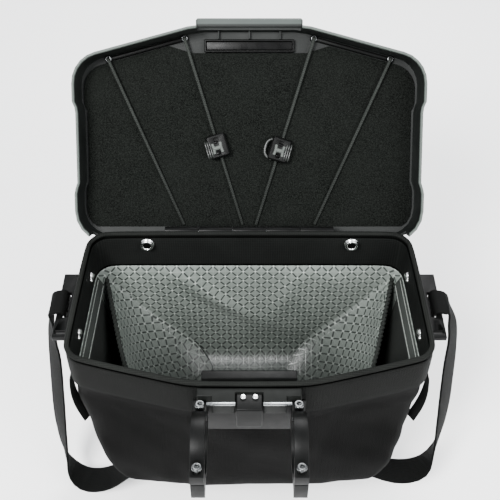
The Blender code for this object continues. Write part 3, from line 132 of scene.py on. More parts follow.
# %% Node helpers
class Recipe:
    """One material, built node by node."""

    def __init__(self, name):
        self.material = bpy.data.materials.new(name)
        self.material.use_nodes = True
        self.tree = self.material.node_tree
        self.shader = self.tree.nodes["Principled BSDF"]
        self.coords = self.tree.nodes.new("ShaderNodeTexCoord")

    def feed(self, socket, value):
        if isinstance(value, bpy.types.NodeSocket):
            self.tree.links.new(value, socket)
        elif value is not None:
            socket.default_value = value

    def node(self, kind, inputs, **settings):
        item = self.tree.nodes.new(kind)
        for key, value in settings.items():
            setattr(item, key, value)
        for key, value in inputs.items():
            self.feed(item.inputs[key], value)
        return item.outputs[0]

    def place(self, uv=False, scale=(1.0, 1.0, 1.0)):
        source = self.coords.outputs["UV" if uv else "Object"]
        return self.node("ShaderNodeMapping", {"Vector": source, "Scale": scale})

    def noise(self, where, scale, detail=4.0, rough=0.55):
        inputs = {"Vector": where, "Scale": scale, "Detail": detail, "Roughness": rough}
        return self.node("ShaderNodeTexNoise", inputs)

    def math(self, operation, first, second=None):
        return self.node("ShaderNodeMath", {0: first, 1: second}, operation=operation)

    def split(self, vector):
        item = self.tree.nodes.new("ShaderNodeSeparateXYZ")
        self.feed(item.inputs[0], vector)
        return item.outputs

    def span(self, value, low, high, to_low=0.0, to_high=1.0):
        inputs = {0: value, 1: low, 2: high, 3: to_low, 4: to_high}
        return self.node("ShaderNodeMapRange", inputs)

    def mix(self, factor, first, second):
        item = self.tree.nodes.new("ShaderNodeMix")
        item.data_type = "RGBA"
        self.feed(item.inputs[0], factor)
        for socket, value in ((item.inputs[6], first), (item.inputs[7], second)):
            if isinstance(value, tuple):
                value = (*value, 1.0)
            self.feed(socket, value)
        return item.outputs[2]

    def bump(self, height, distance):
        return self.node("ShaderNodeBump", {"Height": height, "Distance": distance, "Strength": 1.0})

    def finish(self, colour, rough, normal=None, **values):
        self.feed(self.shader.inputs["Base Color"], colour)
        self.feed(self.shader.inputs["Roughness"], rough)
        self.feed(self.shader.inputs["Normal"], normal)
        for key, value in values.items():
            self.shader.inputs[key.replace("_", " ")].default_value = value
        return self.material


print("recipe helpers ready")

# %% [markdown]
# ## Cloth finishes
# The outside is a dark coated nylon. Its weave only shows close up, as a fine grid with a stronger thread every few
# millimetres, which stops a tear from running. The pattern follows each wall, so it reads the piece's own UV map.


# %% Coated cloth
THREAD = 0.45 * MM
CLOTH_RELIEF = 0.12 * MM
CLOTH_ROUGH = 0.62
DULL = 0.03


def coated_cloth(name, dark, light, check, line=0.16):
    recipe = Recipe(name)
    across, along, _ = recipe.split(recipe.place(uv=True))
    weave = []
    for value in (across, along):
        weave.append(recipe.math("SINE", recipe.math("MULTIPLY", value, math.tau / THREAD)))
    woven = recipe.math("MULTIPLY", weave[0], weave[1])
    strong = []
    for value in (across, along):
        near = recipe.math("PINGPONG", value, check / 2)
        strong.append(recipe.span(near, 0.0, check * line, 1.0, 0.0))
    checks = recipe.math("MAXIMUM", strong[0], strong[1])
    cloud = recipe.noise(recipe.place(), 22.0, 5.0, 0.6)
    fine = recipe.noise(recipe.place(), 420.0, 3.0, 0.7)
    base = recipe.mix(recipe.span(cloud, 0.3, 0.75), dark, light)
    worn = recipe.mix(recipe.math("MULTIPLY", checks, 0.6), base, tuple(part * 2.2 for part in light))
    height = recipe.math("ADD", recipe.math("MULTIPLY", woven, 0.35), recipe.math("MULTIPLY", checks, 0.5))
    height = recipe.math("ADD", height, recipe.math("MULTIPLY", fine, 0.8))
    return recipe.finish(worn, CLOTH_ROUGH, recipe.bump(height, CLOTH_RELIEF), Specular_IOR_Level=DULL)


body_finish = coated_cloth("body_cloth_finish", (0.0002, 0.0003, 0.0002), (0.0006, 0.0006, 0.0005), check=2.6 * MM)
collar_finish = coated_cloth("collar_cloth_finish", (0.0006, 0.0007, 0.0006), (0.0030, 0.0032, 0.0029),
                              check=1.8 * MM, line=0.40)
facing_finish = coated_cloth("facing_cloth_finish", (0.0027, 0.0030, 0.0028), (0.0062, 0.0067, 0.0062), check=1.6 * MM)
pocket_finish = coated_cloth("pocket_cloth_finish", (0.0070, 0.0078, 0.0072), (0.0150, 0.0162, 0.0150), check=1.6 * MM)
print("cloth finishes", 4)


# %% [markdown]
# The lining is thin grey-green nylon. Dark dashes make small diamonds on it, with a pale cross at each corner, over a
# faint square grid of threads. A dash is drawn where a slanted stripe is near its middle, a noise makes some of them
# fainter, and painted shade darkens the cloth towards the bag's floor, where less light falls.

# %% Lining cloth
BAG_FLOOR_Z = -118.0 * MM
PAINTED_SHADE_SPAN = 95.0 * MM
PAINTED_SHADE_DARKEST = 0.22
CELL = 8.8 * MM


def lining_cloth():
    recipe = Recipe("lining_cloth_finish")
    across, along, _ = recipe.split(recipe.place(uv=True))
    slants = []
    for sign in (1.0, -1.0):
        slant = recipe.math("ADD", across, recipe.math("MULTIPLY", along, sign))
        near = recipe.math("PINGPONG", slant, CELL / 2)
        stripe = recipe.span(near, 0.50 * MM, 0.95 * MM, 1.0, 0.0)
        crossing = recipe.math("SUBTRACT", across, recipe.math("MULTIPLY", along, sign))
        gap = recipe.span(recipe.math("PINGPONG", crossing, CELL / 2), 1.15 * MM, 1.6 * MM)
        slants.append(recipe.math("MULTIPLY", stripe, gap))
    dashes = recipe.math("MAXIMUM", slants[0], slants[1])
    threads = []
    arms = []
    for value, sign in ((across, 1.0), (along, -1.0)):
        near = recipe.math("PINGPONG", value, CELL / 4)
        threads.append(recipe.span(near, 0.10 * MM, 0.50 * MM, 1.0, 0.0))
        slant = recipe.math("ADD", across, recipe.math("MULTIPLY", along, sign))
        arms.append(recipe.span(recipe.math("PINGPONG", slant, CELL / 2), 0.7 * MM, 2.2 * MM, 1.0, 0.0))
    grid = recipe.math("MAXIMUM", threads[0], threads[1])
    star = recipe.math("MULTIPLY", grid, recipe.math("MULTIPLY", arms[0], arms[1]))
    height = recipe.split(recipe.place())[2]
    # painted shade: the lining's colour darkens towards the bag's floor
    depth = recipe.span(height, BAG_FLOOR_Z, BAG_FLOOR_Z + PAINTED_SHADE_SPAN, PAINTED_SHADE_DARKEST, 1.0)
    cloud = recipe.noise(recipe.place(), 14.0, 5.0, 0.6)
    base = recipe.mix(recipe.span(cloud, 0.3, 0.7), (0.084, 0.098, 0.087), (0.146, 0.165, 0.149))
    base = recipe.mix(recipe.math("MULTIPLY", grid, 0.07), base, (0.26, 0.29, 0.26))
    base = recipe.mix(recipe.math("MULTIPLY", star, 0.55), base, (0.36, 0.39, 0.36))
    faint = recipe.span(recipe.noise(recipe.place(uv=True), 160.0, 2.0), 0.25, 0.6, 0.75, 1.0)
    base = recipe.mix(recipe.math("MULTIPLY", dashes, faint), base, (0.006, 0.008, 0.007))
    # the painted shade is mixed in here, towards a near-black colour
    base = recipe.mix(depth, (0.004, 0.005, 0.004), base)
    wrinkles = recipe.noise(recipe.place(scale=(1.0, 1.0, 0.6)), 60.0, 4.0, 0.6)
    relief = recipe.math("ADD", recipe.math("MULTIPLY", grid, 0.15), recipe.math("MULTIPLY", wrinkles, 1.5))
    rough = recipe.span(cloud, 0.2, 0.8, 0.36, 0.50)
    return recipe.finish(base, rough, recipe.bump(relief, 0.5 * MM))


lining_finish = lining_cloth()
print("lining", lining_finish.name)


# %% [markdown]
# Webbing is woven in ribs that run along it, and elastic cord has a braided sheath. Both patterns follow the piece's
# length, so both read a UV map whose first number goes round or across and whose second goes along.

# %% Webbing, cord, felt
def woven_band(name, dark, light, rib=1.3 * MM, pick=0.9 * MM):
    recipe = Recipe(name)
    across, along, _ = recipe.split(recipe.place(uv=True))
    ribs = recipe.math("SINE", recipe.math("MULTIPLY", across, math.tau / rib))
    shift = recipe.math("MULTIPLY", recipe.math("SIGN", ribs), math.pi / 2)
    picks = recipe.math("SINE", recipe.math("ADD", recipe.math("MULTIPLY", along, math.tau / pick), shift))
    weave = recipe.math("ADD", recipe.math("MULTIPLY", picks, 0.5), recipe.math("MULTIPLY", ribs, 0.5))
    cloud = recipe.noise(recipe.place(), 60.0, 4.0)
    shade = recipe.math("ADD", recipe.span(weave, -1.0, 1.0, 0.0, 0.55), recipe.math("MULTIPLY", cloud, 0.45))
    base = recipe.mix(shade, dark, light)
    return recipe.finish(base, 0.7, recipe.bump(weave, 0.18 * MM), Specular_IOR_Level=0.05)


def short_pile(name, dark, light):
    recipe = Recipe(name)
    where = recipe.place()
    fuzz = recipe.noise(where, 1150.0, 5.0, 0.8)
    cloud = recipe.noise(where, 30.0, 5.0, 0.65)
    base = recipe.mix(recipe.span(fuzz, 0.42, 0.66), dark, light)
    base = recipe.mix(recipe.span(cloud, 0.35, 0.7, 0.0, 0.4), base, tuple(part * 0.7 for part in light))
    return recipe.finish(base, 0.92, recipe.bump(fuzz, 0.5 * MM), Specular_IOR_Level=0.04)


webbing_finish = woven_band("webbing_finish", (0.0010, 0.0011, 0.0010), (0.0037, 0.0040, 0.0037))
cord_finish = woven_band("cord_finish", (0.006, 0.007, 0.006), (0.040, 0.044, 0.040), rib=0.9 * MM, pick=0.8 * MM)
felt_finish = short_pile("felt_finish", (0.0006, 0.0008, 0.0006), (0.0108, 0.0123, 0.0107))
print("bands and pile", 3)

# %% [markdown]
# ## Plastic and metal finishes
# Moulded nylon has a fine grain and clouds of slightly paler tone. The grain is a bump so small that it mostly changes
# how the highlight spreads.


# %% Plastic and metal
GRAIN_SCALE = 1400.0


def moulded(name, dark, light, rough, grain=0.06 * MM, shine=0.08):
    recipe = Recipe(name)
    where = recipe.place()
    speck = recipe.noise(where, GRAIN_SCALE, 3.0, 0.6)
    cloud = recipe.noise(where, 45.0, 5.0, 0.6)
    smear = recipe.noise(recipe.place(scale=(1.0, 0.3, 1.0)), 130.0, 4.0, 0.7)
    base = recipe.mix(recipe.span(cloud, 0.3, 0.75), dark, light)
    spread = recipe.span(smear, 0.3, 0.7, rough - 0.08, rough + 0.08)
    return recipe.finish(base, spread, recipe.bump(speck, grain), Specular_IOR_Level=shine)


def polished(name, colour, rough):
    recipe = Recipe(name)
    scuff = recipe.noise(recipe.place(), 600.0, 4.0, 0.6)
    spread = recipe.span(scuff, 0.3, 0.8, rough * 0.7, rough * 1.6)
    tone = recipe.span(recipe.noise(recipe.place(), 90.0), 0.3, 0.7)
    shade = recipe.mix(tone, colour, tuple(part * 0.8 for part in colour))
    return recipe.finish(shade, spread, recipe.bump(scuff, 0.01 * MM), Metallic=1.0)


black_finish = moulded("black_plastic_finish", (0.0012, 0.0013, 0.0012), (0.0031, 0.0033, 0.0031), 0.40)
gloss_finish = moulded("gloss_plastic_finish", (0.0006, 0.0006, 0.0006), (0.0015, 0.0016, 0.0015), 0.30, 0.01 * MM)
grey_finish = moulded("grey_plastic_finish", (0.0036, 0.0040, 0.0036), (0.0072, 0.0079, 0.0072), 0.50)
# painted highlight: a pale plastic for the cord locks' raised web and legs, standing in for their glints
lock_glint_finish = moulded("lock_glint_plastic_finish", (0.0540, 0.0600, 0.0552), (0.0900, 0.0972, 0.0900), 0.38)
bright_finish = polished("bright_metal_finish", (0.78, 0.79, 0.77), 0.20)
dark_metal_finish = polished("dark_metal_finish", (0.0960, 0.1000, 0.1000), 0.24)
# painted highlight: bright strips that stand in for light caught by the bracket bar's chamfer
chamfer_highlight_finish = polished("chamfer_highlight_finish", (0.24, 0.25, 0.25), 0.24)
print("hard finishes", 7)

# %% [markdown]
# The lid is a paler charcoal, and its rim gets a painted highlight, pale grey all the way round. The distance inward
# from the hinge, square to the lid, picks out that rim, so the painted highlight keeps to the edge wherever the edge
# goes. The grip's tip is paler too.

# %% Lid finish
HINGE = Vector((0.0, 167.7 * MM, 9.7 * MM))
OPEN_ANGLE = math.radians(127.0)
LID_OUT = Vector((0.0, -math.cos(OPEN_ANGLE), math.sin(OPEN_ANGLE)))
LID_INWARD = Vector((0.0, -math.sin(OPEN_ANGLE), -math.cos(OPEN_ANGLE)))
LIP_HEIGHT = 10.0 * MM
TIP_REACH = 147.5 * MM


class LidRecipe(Recipe):
    """A recipe that can measure from the hinge, along one of the open lid's own directions."""

    def reach(self, where, direction):
        _, y, z = self.split(where)
        total = self.math("ADD", self.math("MULTIPLY", y, direction.y), self.math("MULTIPLY", z, direction.z))
        return self.math("SUBTRACT", total, HINGE.dot(direction))

    def outward(self, where):
        return self.reach(where, LID_OUT)


def lid_plastic():
    recipe = LidRecipe("lid_plastic_finish")
    where = recipe.place()
    rise = recipe.reach(where, LID_INWARD)
    # painted highlight: the lid's rim is made pale grey, with a ragged inner edge
    ragged = recipe.math("MULTIPLY", recipe.noise(where, 260.0, 4.0, 0.7), 1.2 * MM)
    painted_lip_highlight = recipe.span(recipe.math("ADD", rise, ragged), LIP_HEIGHT - 1.4 * MM, LIP_HEIGHT + 0.4 * MM)
    cloud = recipe.noise(where, 40.0, 5.0, 0.6)
    base = recipe.mix(recipe.span(cloud, 0.3, 0.7), (0.0040, 0.0048, 0.0043), (0.0090, 0.0104, 0.0094))
    base = recipe.mix(recipe.math("MULTIPLY", painted_lip_highlight, 0.9), base, (0.070, 0.082, 0.074))
    tip = recipe.span(recipe.outward(where), TIP_REACH - 4.6 * MM, TIP_REACH - 3.6 * MM)
    base = recipe.mix(recipe.math("MULTIPLY", tip, 0.85), base, (0.048, 0.058, 0.053))
    speck = recipe.noise(where, 1500.0, 3.0, 0.6)
    rough = recipe.span(cloud, 0.3, 0.7, 0.50, 0.64)
    return recipe.finish(base, rough, recipe.bump(speck, 0.07 * MM), Specular_IOR_Level=0.18)


lid_finish = lid_plastic()
print("lid", lid_finish.name)

# %% [markdown]
# ## Taking a measured piece further
# A measured piece has the right size but sharp edges and few faces. A copy of it is welded, its triangles are joined
# to quads, and then a bevel rounds its edges or a subdivision smooths its cloth. The object stays at the origin.


# %% Copy, weld, round
def alone(item):
    deselect_all()
    item.select_set(True)
    bpy.context.view_layer.objects.active = item


def in_edit_mode(item, *steps):
    alone(item)
    bpy.ops.object.mode_set(mode="EDIT")
    bpy.ops.mesh.select_all(action="SELECT")
    for step in steps:
        step()
    bpy.ops.object.mode_set(mode="OBJECT")


def welded_copy(node, quads=True):
    source = NODES[node]
    item = source.copy()
    item.data = source.data.copy()
    item.name = f"{node}_piece"
    item.parent = None
    item.matrix_world = Matrix.Identity(4)
    bpy.context.scene.collection.objects.link(item)
    item.data.materials.clear()
    steps = [lambda: bpy.ops.mesh.remove_doubles(threshold=0.00002)]
    if quads:
        steps.append(lambda: bpy.ops.mesh.tris_convert_to_quads(face_threshold=0.7, shape_threshold=1.2))
    in_edit_mode(item, *steps)
    return item


def apply(item, kind, **settings):
    alone(item)
    modifier = item.modifiers.new(kind.lower(), kind)
    for key, value in settings.items():
        setattr(modifier, key, value)
    bpy.ops.object.modifier_apply(modifier=modifier.name)


def smooth(item, angle=35.0):
    alone(item)
    bpy.ops.object.shade_smooth_by_angle(angle=math.radians(angle))


def round_edges(item, width, segments=3, angle=30.0):
    apply(item, "BEVEL", width=width, segments=segments, limit_method="ANGLE",
          angle_limit=math.radians(angle), harden_normals=False, use_clamp_overlap=True)
    smooth(item, 40.0)


def dress(item, body, slot, finish, *nodes):
    item.data.materials.clear()
    item.data.materials.append(finish)
    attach(item, body)
    if nodes:
        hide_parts(*nodes)
    return item


def wall_uv(item):
    """A flat map for cloth: each face is measured in metres along its wall and up it."""
    layer = item.data.uv_layers.new(name="cloth")
    for face in item.data.polygons:
        normal = face.normal
        facing = max(range(3), key=lambda axis: abs(normal[axis]))
        for corner in face.loop_indices:
            point = item.data.vertices[item.data.loops[corner].vertex_index].co
            pair = {0: (point.y, point.z), 1: (point.x, point.z), 2: (point.x, point.y)}[facing]
            layer.data[corner].uv = pair


BAG_MIDDLE = Vector((0.0, 97.5 * MM, 0.0))


def move_points(item, shift):
    """Move every point level and straight away from the bag's middle line by what shift says for it."""
    mesh = item.data
    moved = []
    for point in mesh.vertices:
        away = point.co - BAG_MIDDLE
        away.z = 0.0
        nearness = min(away.length / (40 * MM), 1.0)
        moved.append(point.co + away.normalized() * shift(point.co) * nearness)
    for point, place in zip(mesh.vertices, moved):
        point.co = place
    mesh.update()


print("piece helpers ready")

# %% [markdown]
# ## The soft body
# The body is one cloth bag, sewn at its corners and slack between them. The measured cup is smoothed by a subdivision
# and then pushed about a little: broad noise for slack cloth, and finer vertical creases under the stiff band.


# %% Body, collar, facing
RIM_Z = 15.0 * MM
HEM_Z = RIM_Z - 32.0 * MM
BASE_Z = RIM_Z - 133.0 * MM


def soft_copy(node, levels):
    item = welded_copy(node)
    apply(item, "SUBSURF", levels=levels, render_levels=levels, subdivision_type="CATMULL_CLARK")
    smooth(item, 60.0)
    return item


def slack(point):
    low = min(max((HEM_Z - 2 * MM - point.z) / (12 * MM), 0.0), 1.0)
    broad = abs(noise.noise(point * 18.0)) * 2.2 * MM
    crease = abs(noise.noise(Vector((point.x * 60.0, point.y * 60.0, point.z * 22.0)))) * 1.6 * MM
    pull = abs(noise.noise(Vector((point.x * 24.0 + point.z * 40.0, point.y * 20.0, point.z * 9.0)))) * 1.8 * MM
    return (broad + crease + pull) * low


body = soft_copy("body_shell", 2)
move_points(body, slack)
wall_uv(body)
dress(body, "bag", "body_cloth", body_finish, "body_shell")

collar = soft_copy("collar", 2)
move_points(collar, lambda point: abs(noise.noise(point * 22.0)) * 0.4 * MM)
wall_uv(collar)
dress(collar, "bag", "collar_cloth", collar_finish, "collar")

facing = soft_copy("facing", 2)
wall_uv(facing)
dress(facing, "bag", "facing_cloth", facing_finish, "facing")
print("outer cloth", len(body.data.polygons) + len(collar.data.polygons))

# %% [markdown]
# ## The lining
# Thin cloth hangs inside in soft diagonal pulls. The noise is stretched along a slanted direction, which gives long
# folds in place of round dents, and a short table adds the few large pulls. The end panels gather at their mouths.


# %% Lining and pockets
def ridge(value):
    """A fold's section: sharp at its top and wide at its foot."""
    return (1.0 - abs(value)) ** 3


# Each pull runs straight across the far wall between two places, in x and z
PULLS = (
    # from x, from z, to x, to z, half width, height
    (-64.0, -16.0, 10.0, -78.0, 5.0, 4.6),
    (-70.0, -30.0, -36.0, -78.0, 4.0, 2.6),
    (-92.0, -18.0, -80.0, -52.0, 4.0, 1.6),
    (40.0, -18.0, 12.0, -86.0, 6.0, 3.0),
    (60.0, -16.0, 74.0, -52.0, 5.0, 2.4),
)


def pull_height(point):
    total = 0.0
    for from_x, from_z, to_x, to_z, half, height in PULLS:
        start = Vector((from_x, from_z)) * MM
        along = Vector((to_x, to_z)) * MM - start
        away = Vector((point.x, point.z)) - start
        share = min(max(away.dot(along) / along.length_squared, 0.0), 1.0)
        gap = (away - along * share).length / (half * MM)
        total += height * math.exp(-gap ** 2) * math.sin(math.pi * min(share * 0.8 + 0.2, 1.0))
    return total


def lining_folds(point):
    inside = min(max((HEM_Z - 1 * MM - point.z) / (10 * MM), 0.0), 1.0)
    off_floor = min(max((point.z - BASE_Z - 4 * MM) / (10 * MM), 0.0), 1.0)
    off_ends = min(max((94 * MM - abs(point.x)) / (8 * MM), 0.0), 1.0)
    slanted = Vector((point.x * 17.0 + point.z * 26.0, point.y * 14.0, point.z * 6.0))
    folds = ridge(noise.noise(slanted) * 2.2) * 1.1
    if point.y > 120 * MM:
        folds += pull_height(point)
    fine = abs(noise.noise(point * 70.0)) * 0.5
    return -(folds + fine) * MM * inside * off_floor * off_ends


lining = soft_copy("lining", 2)
move_points(lining, lining_folds)
wall_uv(lining)
dress(lining, "bag", "lining_cloth", lining_finish, "lining")

MOUTH_REAR_Z = RIM_Z - 70 * MM
MOUTH_FRONT_Z = RIM_Z - 40 * MM


def mouth_height(y):
    return MOUTH_REAR_Z + (MOUTH_FRONT_Z - MOUTH_REAR_Z) * min(max((y - 42 * MM) / (116 * MM), 0.0), 1.0)


def gathers(point):
    mouth = math.exp(-((point.z - mouth_height(point.y)) / (9 * MM)) ** 2)
    rib = math.sin(point.y / (2.9 * MM) * math.pi) * 0.8 * MM * mouth
    level = min(max((point.z - MOUTH_REAR_Z + 30 * MM) / (30 * MM), 0.0), 1.0)
    rear = min(max((95 * MM - point.y) / (50 * MM), 0.0), 1.0)
    front = min(max((point.y - 120 * MM) / (30 * MM), 0.0), 1.0)
    bend = front * level * 3 * MM - rear * level * 9 * MM
    return rib + bend - abs(noise.noise(point * 30.0)) * 1.5 * MM


for side in ("left", "right"):
    back = soft_copy(f"pocket_back_{side}", 2)
    wall_uv(back)
    dress(back, "bag", "pocket_cloth", pocket_finish, f"pocket_back_{side}")
    panel = soft_copy(f"end_pocket_{side}", 3)
    move_points(panel, gathers)
    wall_uv(panel)
    dress(panel, "bag", "lining_cloth", lining_finish, f"end_pocket_{side}")
print("lining faces", len(lining.data.polygons))

# %% [markdown]
# Each pocket's mouth has elastic sewn into a narrow hem, which gathers the cloth. The hem is a rod along the mouth,
# drawn as a curve, and its points are then moved in and out to make the gathers.

# %% Pocket hems


def curved_rod(name, places, radius, steps):
    """A round rod through some places, drawn as a smooth curve and turned into a mesh."""
    deselect_all()
    bpy.ops.curve.primitive_bezier_curve_add(location=(0.0, 0.0, 0.0))
    item = bpy.context.object
    item.name = name
    curve = item.data
    spline = curve.splines[0]
    spline.bezier_points.add(len(places) - 2)
    for target, place in zip(spline.bezier_points, places):
        target.co = place
        target.handle_left_type = "AUTO"
        target.handle_right_type = "AUTO"
    curve.resolution_u = steps
    curve.bevel_depth = radius
    curve.bevel_resolution = 3
    curve.use_fill_caps = True
    bpy.ops.object.convert(target="MESH")
    item = bpy.context.object
    smooth(item, 60.0)
    return item


hem_finish = coated_cloth("hem_cloth_finish", (0.0010, 0.0012, 0.0010), (0.0140, 0.0156, 0.0142),
                          check=1.6 * MM, line=0.4)
HEM_RADIUS = 1.5 * MM
GATHER_PITCH = 3.1 * MM
HEM_PLACES = ((105.0, 157.5, -24.5), (97.0, 128.0, -32.0), (88.0, 96.0, -40.5), (74.5, 58.0, -51.0))
for side_name, side in (("left", -1), ("right", 1)):
    places = [Vector((side * x, y, z)) * MM for x, y, z in HEM_PLACES]
    hem = curved_rod(f"pocket_hem_{side_name}", places, HEM_RADIUS, 40)
    for point in hem.data.vertices:
        gather = math.sin(point.co.y / GATHER_PITCH * math.tau)
        point.co.z += gather * 0.55 * MM
        point.co.x += gather * 0.50 * MM
    wall_uv(hem)
    dress(hem, "bag", "pocket_cloth", hem_finish)
print("hems", 2)

# %% [markdown]
# Inside each end, below the black band, a stiff strip of grey cloth is sewn down with two rows of pale thread. A row
# of stitches is a thin rod that dips into the cloth at every step.

# %% End strips and stitches
strip_finish = coated_cloth("strip_cloth_finish", (0.0120, 0.0136, 0.0124), (0.0280, 0.0312, 0.0284),
                            check=1.4 * MM, line=0.3)
thread_finish = woven_band("thread_finish", (0.22, 0.24, 0.22), (0.42, 0.45, 0.42), rib=0.3 * MM, pick=0.4 * MM)
STITCH = 3.0 * MM
THREAD_RADIUS = 0.32 * MM


def stitches(name, places):
    row = curved_rod(name, places, THREAD_RADIUS, 60)
    for point in row.data.vertices:
        run = (point.co.x + point.co.y) / STITCH
        dip = max(math.cos(run * math.tau), 0.0) ** 2
        point.co.z -= dip * THREAD_RADIUS * 1.2
    wall_uv(row)
    dress(row, "bag", "lining_cloth", thread_finish)


END_SLOPE = 0.0226
STRIP_START, STRIP_MIDDLE, STRIP_STOP = 66 * MM, 108 * MM, 149 * MM
STRIP_LEAN = math.radians(24.0)
ROWS = ((-19.2 * MM, 1.2 * MM), (-25.2 * MM, 4.0 * MM))  # height, and distance in from the end wall


def end_x(y):
    """How far out the end wall's inside face is, at this distance ahead."""
    return (113.5 * MM + (163.5 * MM - y) * END_SLOPE) - 4.4 * MM


for side_name, side in (("left", -1), ("right", 1)):
    middle_y = (STRIP_START + STRIP_STOP) / 2
    middle = Vector((side * (end_x(middle_y) - 2.2 * MM), middle_y, -22.5 * MM))
    deselect_all()
    bpy.ops.mesh.primitive_cube_add(size=1.0, location=middle)
    strip = bpy.context.object
    strip.name = f"end_strip_{side_name}"
    strip.scale = (0.8 * MM, STRIP_STOP - STRIP_START, 10.0 * MM)
    strip.rotation_euler = (0.0, side * STRIP_LEAN, side * math.atan(END_SLOPE))
    bpy.ops.object.transform_apply(location=True, rotation=True, scale=True)
    round_edges(strip, 0.3 * MM, 2)
    wall_uv(strip)
    dress(strip, "bag", "lining_cloth", strip_finish)
    for index, (level, inward) in enumerate(ROWS):
        run = (STRIP_START + 2 * MM, STRIP_MIDDLE, STRIP_STOP - 2 * MM)
        places = [Vector((side * (end_x(y) - inward), y, level)) for y in run]
        stitches(f"end_stitches_{side_name}_{index + 1}", places)
print("end strips", 2, "rows of stitches", 4)

# %% [markdown]
# ## The rolled rim
# A strip of cloth is folded over the top edge and shows as a soft roll. Its cloth is like the band's, a little paler
# and with a finer check, and a subdivision makes the roll soft.

# %% Rim binding
binding_finish = coated_cloth("binding_cloth_finish", (0.0034, 0.0037, 0.0034), (0.0076, 0.0082, 0.0074),
                              check=1.3 * MM)
binding = soft_copy("rim_binding", 2)
wall_uv(binding)
dress(binding, "bag", "binding_cloth", binding_finish, "rim_binding")
print("binding", len(binding.data.polygons))

# %% [markdown]
# ## Straps
# Webbing keeps its width, so the measured band only needs its edges rounded and a UV map that runs along it.


# %% Webbing
def band_uv(item):
    layer = item.data.uv_layers.new(name="cloth")
    for face in item.data.polygons:
        for corner in face.loop_indices:
            point = item.data.vertices[item.data.loops[corner].vertex_index].co
            layer.data[corner].uv = (point.y, point.z + abs(point.x))


for node in ("shoulder_strap", "side_tape_left", "side_tape_right"):
    band = welded_copy(node)
    round_edges(band, 0.35 * MM, 2, 50.0)
    band_uv(band)
    dress(band, "bag", "webbing", webbing_finish, node)
print("bands", 3)

# %% [markdown]
# ## Moulded and metal pieces
# The hard pieces keep their measured shapes. Real mouldings never have a sharp edge, so each copy gets a small
# rounding, which is what catches the light along every rim.

# %% Hard pieces
HARD = (
    ("strap_anchor_left", "bag", "black_plastic", black_finish, 0.5),
    ("strap_anchor_right", "bag", "black_plastic", black_finish, 0.5),
    ("catch_plate", "bag", "black_plastic", black_finish, 0.5),
    ("mount_plate", "bag", "black_plastic", black_finish, 0.3),
    ("bracket_bar", "bag", "grey_plastic", grey_finish, 0.6),
    ("release_block", "bag", "black_plastic", black_finish, 0.3),
    ("block_screw_left", "bag", "bright_metal", bright_finish, 0.15),
    ("block_screw_right", "bag", "bright_metal", bright_finish, 0.15),
    ("clamp_cap_left", "bag", "black_plastic", black_finish, 0.5),
    ("clamp_cap_right", "bag", "black_plastic", black_finish, 0.5),
    ("clamp_base_left", "bag", "black_plastic", black_finish, 0.5),
    ("clamp_base_right", "bag", "black_plastic", black_finish, 0.5),
    ("hinge_leaf_bag", "bag", "black_plastic", black_finish, 0.25),
    ("hinge_leaf_lid", "lid", "black_plastic", black_finish, 0.25),
    ("latch_frame", "lid", "black_plastic", black_finish, 0.25),
    ("latch_bar", "lid", "black_plastic", gloss_finish, 0.15),
    ("edge_ridge_left", "lid", "black_plastic", black_finish, 0.3),
    ("edge_ridge_right", "lid", "black_plastic", black_finish, 0.3),
    ("cord_lock_left", "lid", "black_plastic", black_finish, 0.4),
    ("cord_lock_right", "lid", "black_plastic", black_finish, 0.4),
    ("lid_shell", "lid", "lid_plastic", lid_finish, 0.7),
)
for node, body_name, slot, finish, width in HARD:
    piece = welded_copy(node, quads=False)
    round_edges(piece, width * MM)
    dress(piece, body_name, slot, finish, node)
BRIGHT = ("snap", "end_rivet")
DARK = ("eyelet", "clamp_bolt", "hinge_pin")
HEAD_GROWTH = 1.25  # studs and rivets look this much larger than their measured solids
METAL = [name for name in NODES if name.startswith(BRIGHT + DARK)]
for node in METAL:
    piece = welded_copy(node, quads=False)
    slot, finish = "dark_metal", dark_metal_finish
    if node.startswith(BRIGHT):
        slot, finish = "bright_metal", bright_finish
        centre = sum((point.co for point in piece.data.vertices), Vector()) / len(piece.data.vertices)
        for point in piece.data.vertices:
            point.co = centre + (point.co - centre) * HEAD_GROWTH
    round_edges(piece, 0.12 * MM, 2)
    dress(piece, "lid" if node.startswith("eyelet") else "bag", slot, finish, node)
print("hard pieces", len(HARD) + len(METAL))

# %% [markdown]
# A press stud is a bright ring round a dark well. Beside each rivet head a small bright ball is a painted highlight, a
# second glint. They are turned pieces, so a torus, a short cylinder and a ball are enough for them at this size.

# %% Studs and rivets


def turned_piece(name, operator, place, finish, slot, **sizes):
    deselect_all()
    operator(location=place, **sizes)
    item = bpy.context.object
    item.name = name
    bpy.ops.object.transform_apply(location=True, rotation=True, scale=True)
    smooth(item, 50.0)
    dress(item, "bag", slot, finish)


FACE_TURN = (math.pi / 2, 0.0, 0.0)
STUD_PLACE = (72.0, 157.6, 6.6)
RIVETS = (("rear", 85.7), ("front", 136.5))
for side_name, side in (("left", -1), ("right", 1)):
    face = Vector((side * STUD_PLACE[0], STUD_PLACE[1], STUD_PLACE[2])) * MM
    turned_piece(f"stud_ring_{side_name}", bpy.ops.mesh.primitive_torus_add, face + Vector((0, -1.6, 0)) * MM,
                 bright_finish, "bright_metal", rotation=FACE_TURN, major_radius=3.7 * MM, minor_radius=0.95 * MM,
                 major_segments=32, minor_segments=10)
    turned_piece(f"stud_well_{side_name}", bpy.ops.mesh.primitive_cylinder_add, face + Vector((0, -1.4, 0)) * MM,
                 gloss_finish, "black_plastic", rotation=FACE_TURN, radius=3.1 * MM, depth=1.0 * MM, vertices=24)
    for place_name, y in RIVETS:
        # painted highlight: a small bright ball beside the rivet head makes a second glint
        head = Vector((side * (end_x(y * MM) / MM + 0.1), y - 3.4, -4.6)) * MM
        turned_piece(f"rivet_glint_ball_{side_name}_{place_name}", bpy.ops.mesh.primitive_uv_sphere_add, head,
                     bright_finish, "bright_metal", radius=1.5 * MM, segments=14, ring_count=8)
print("studs", 2, "rivet eyes", 4)
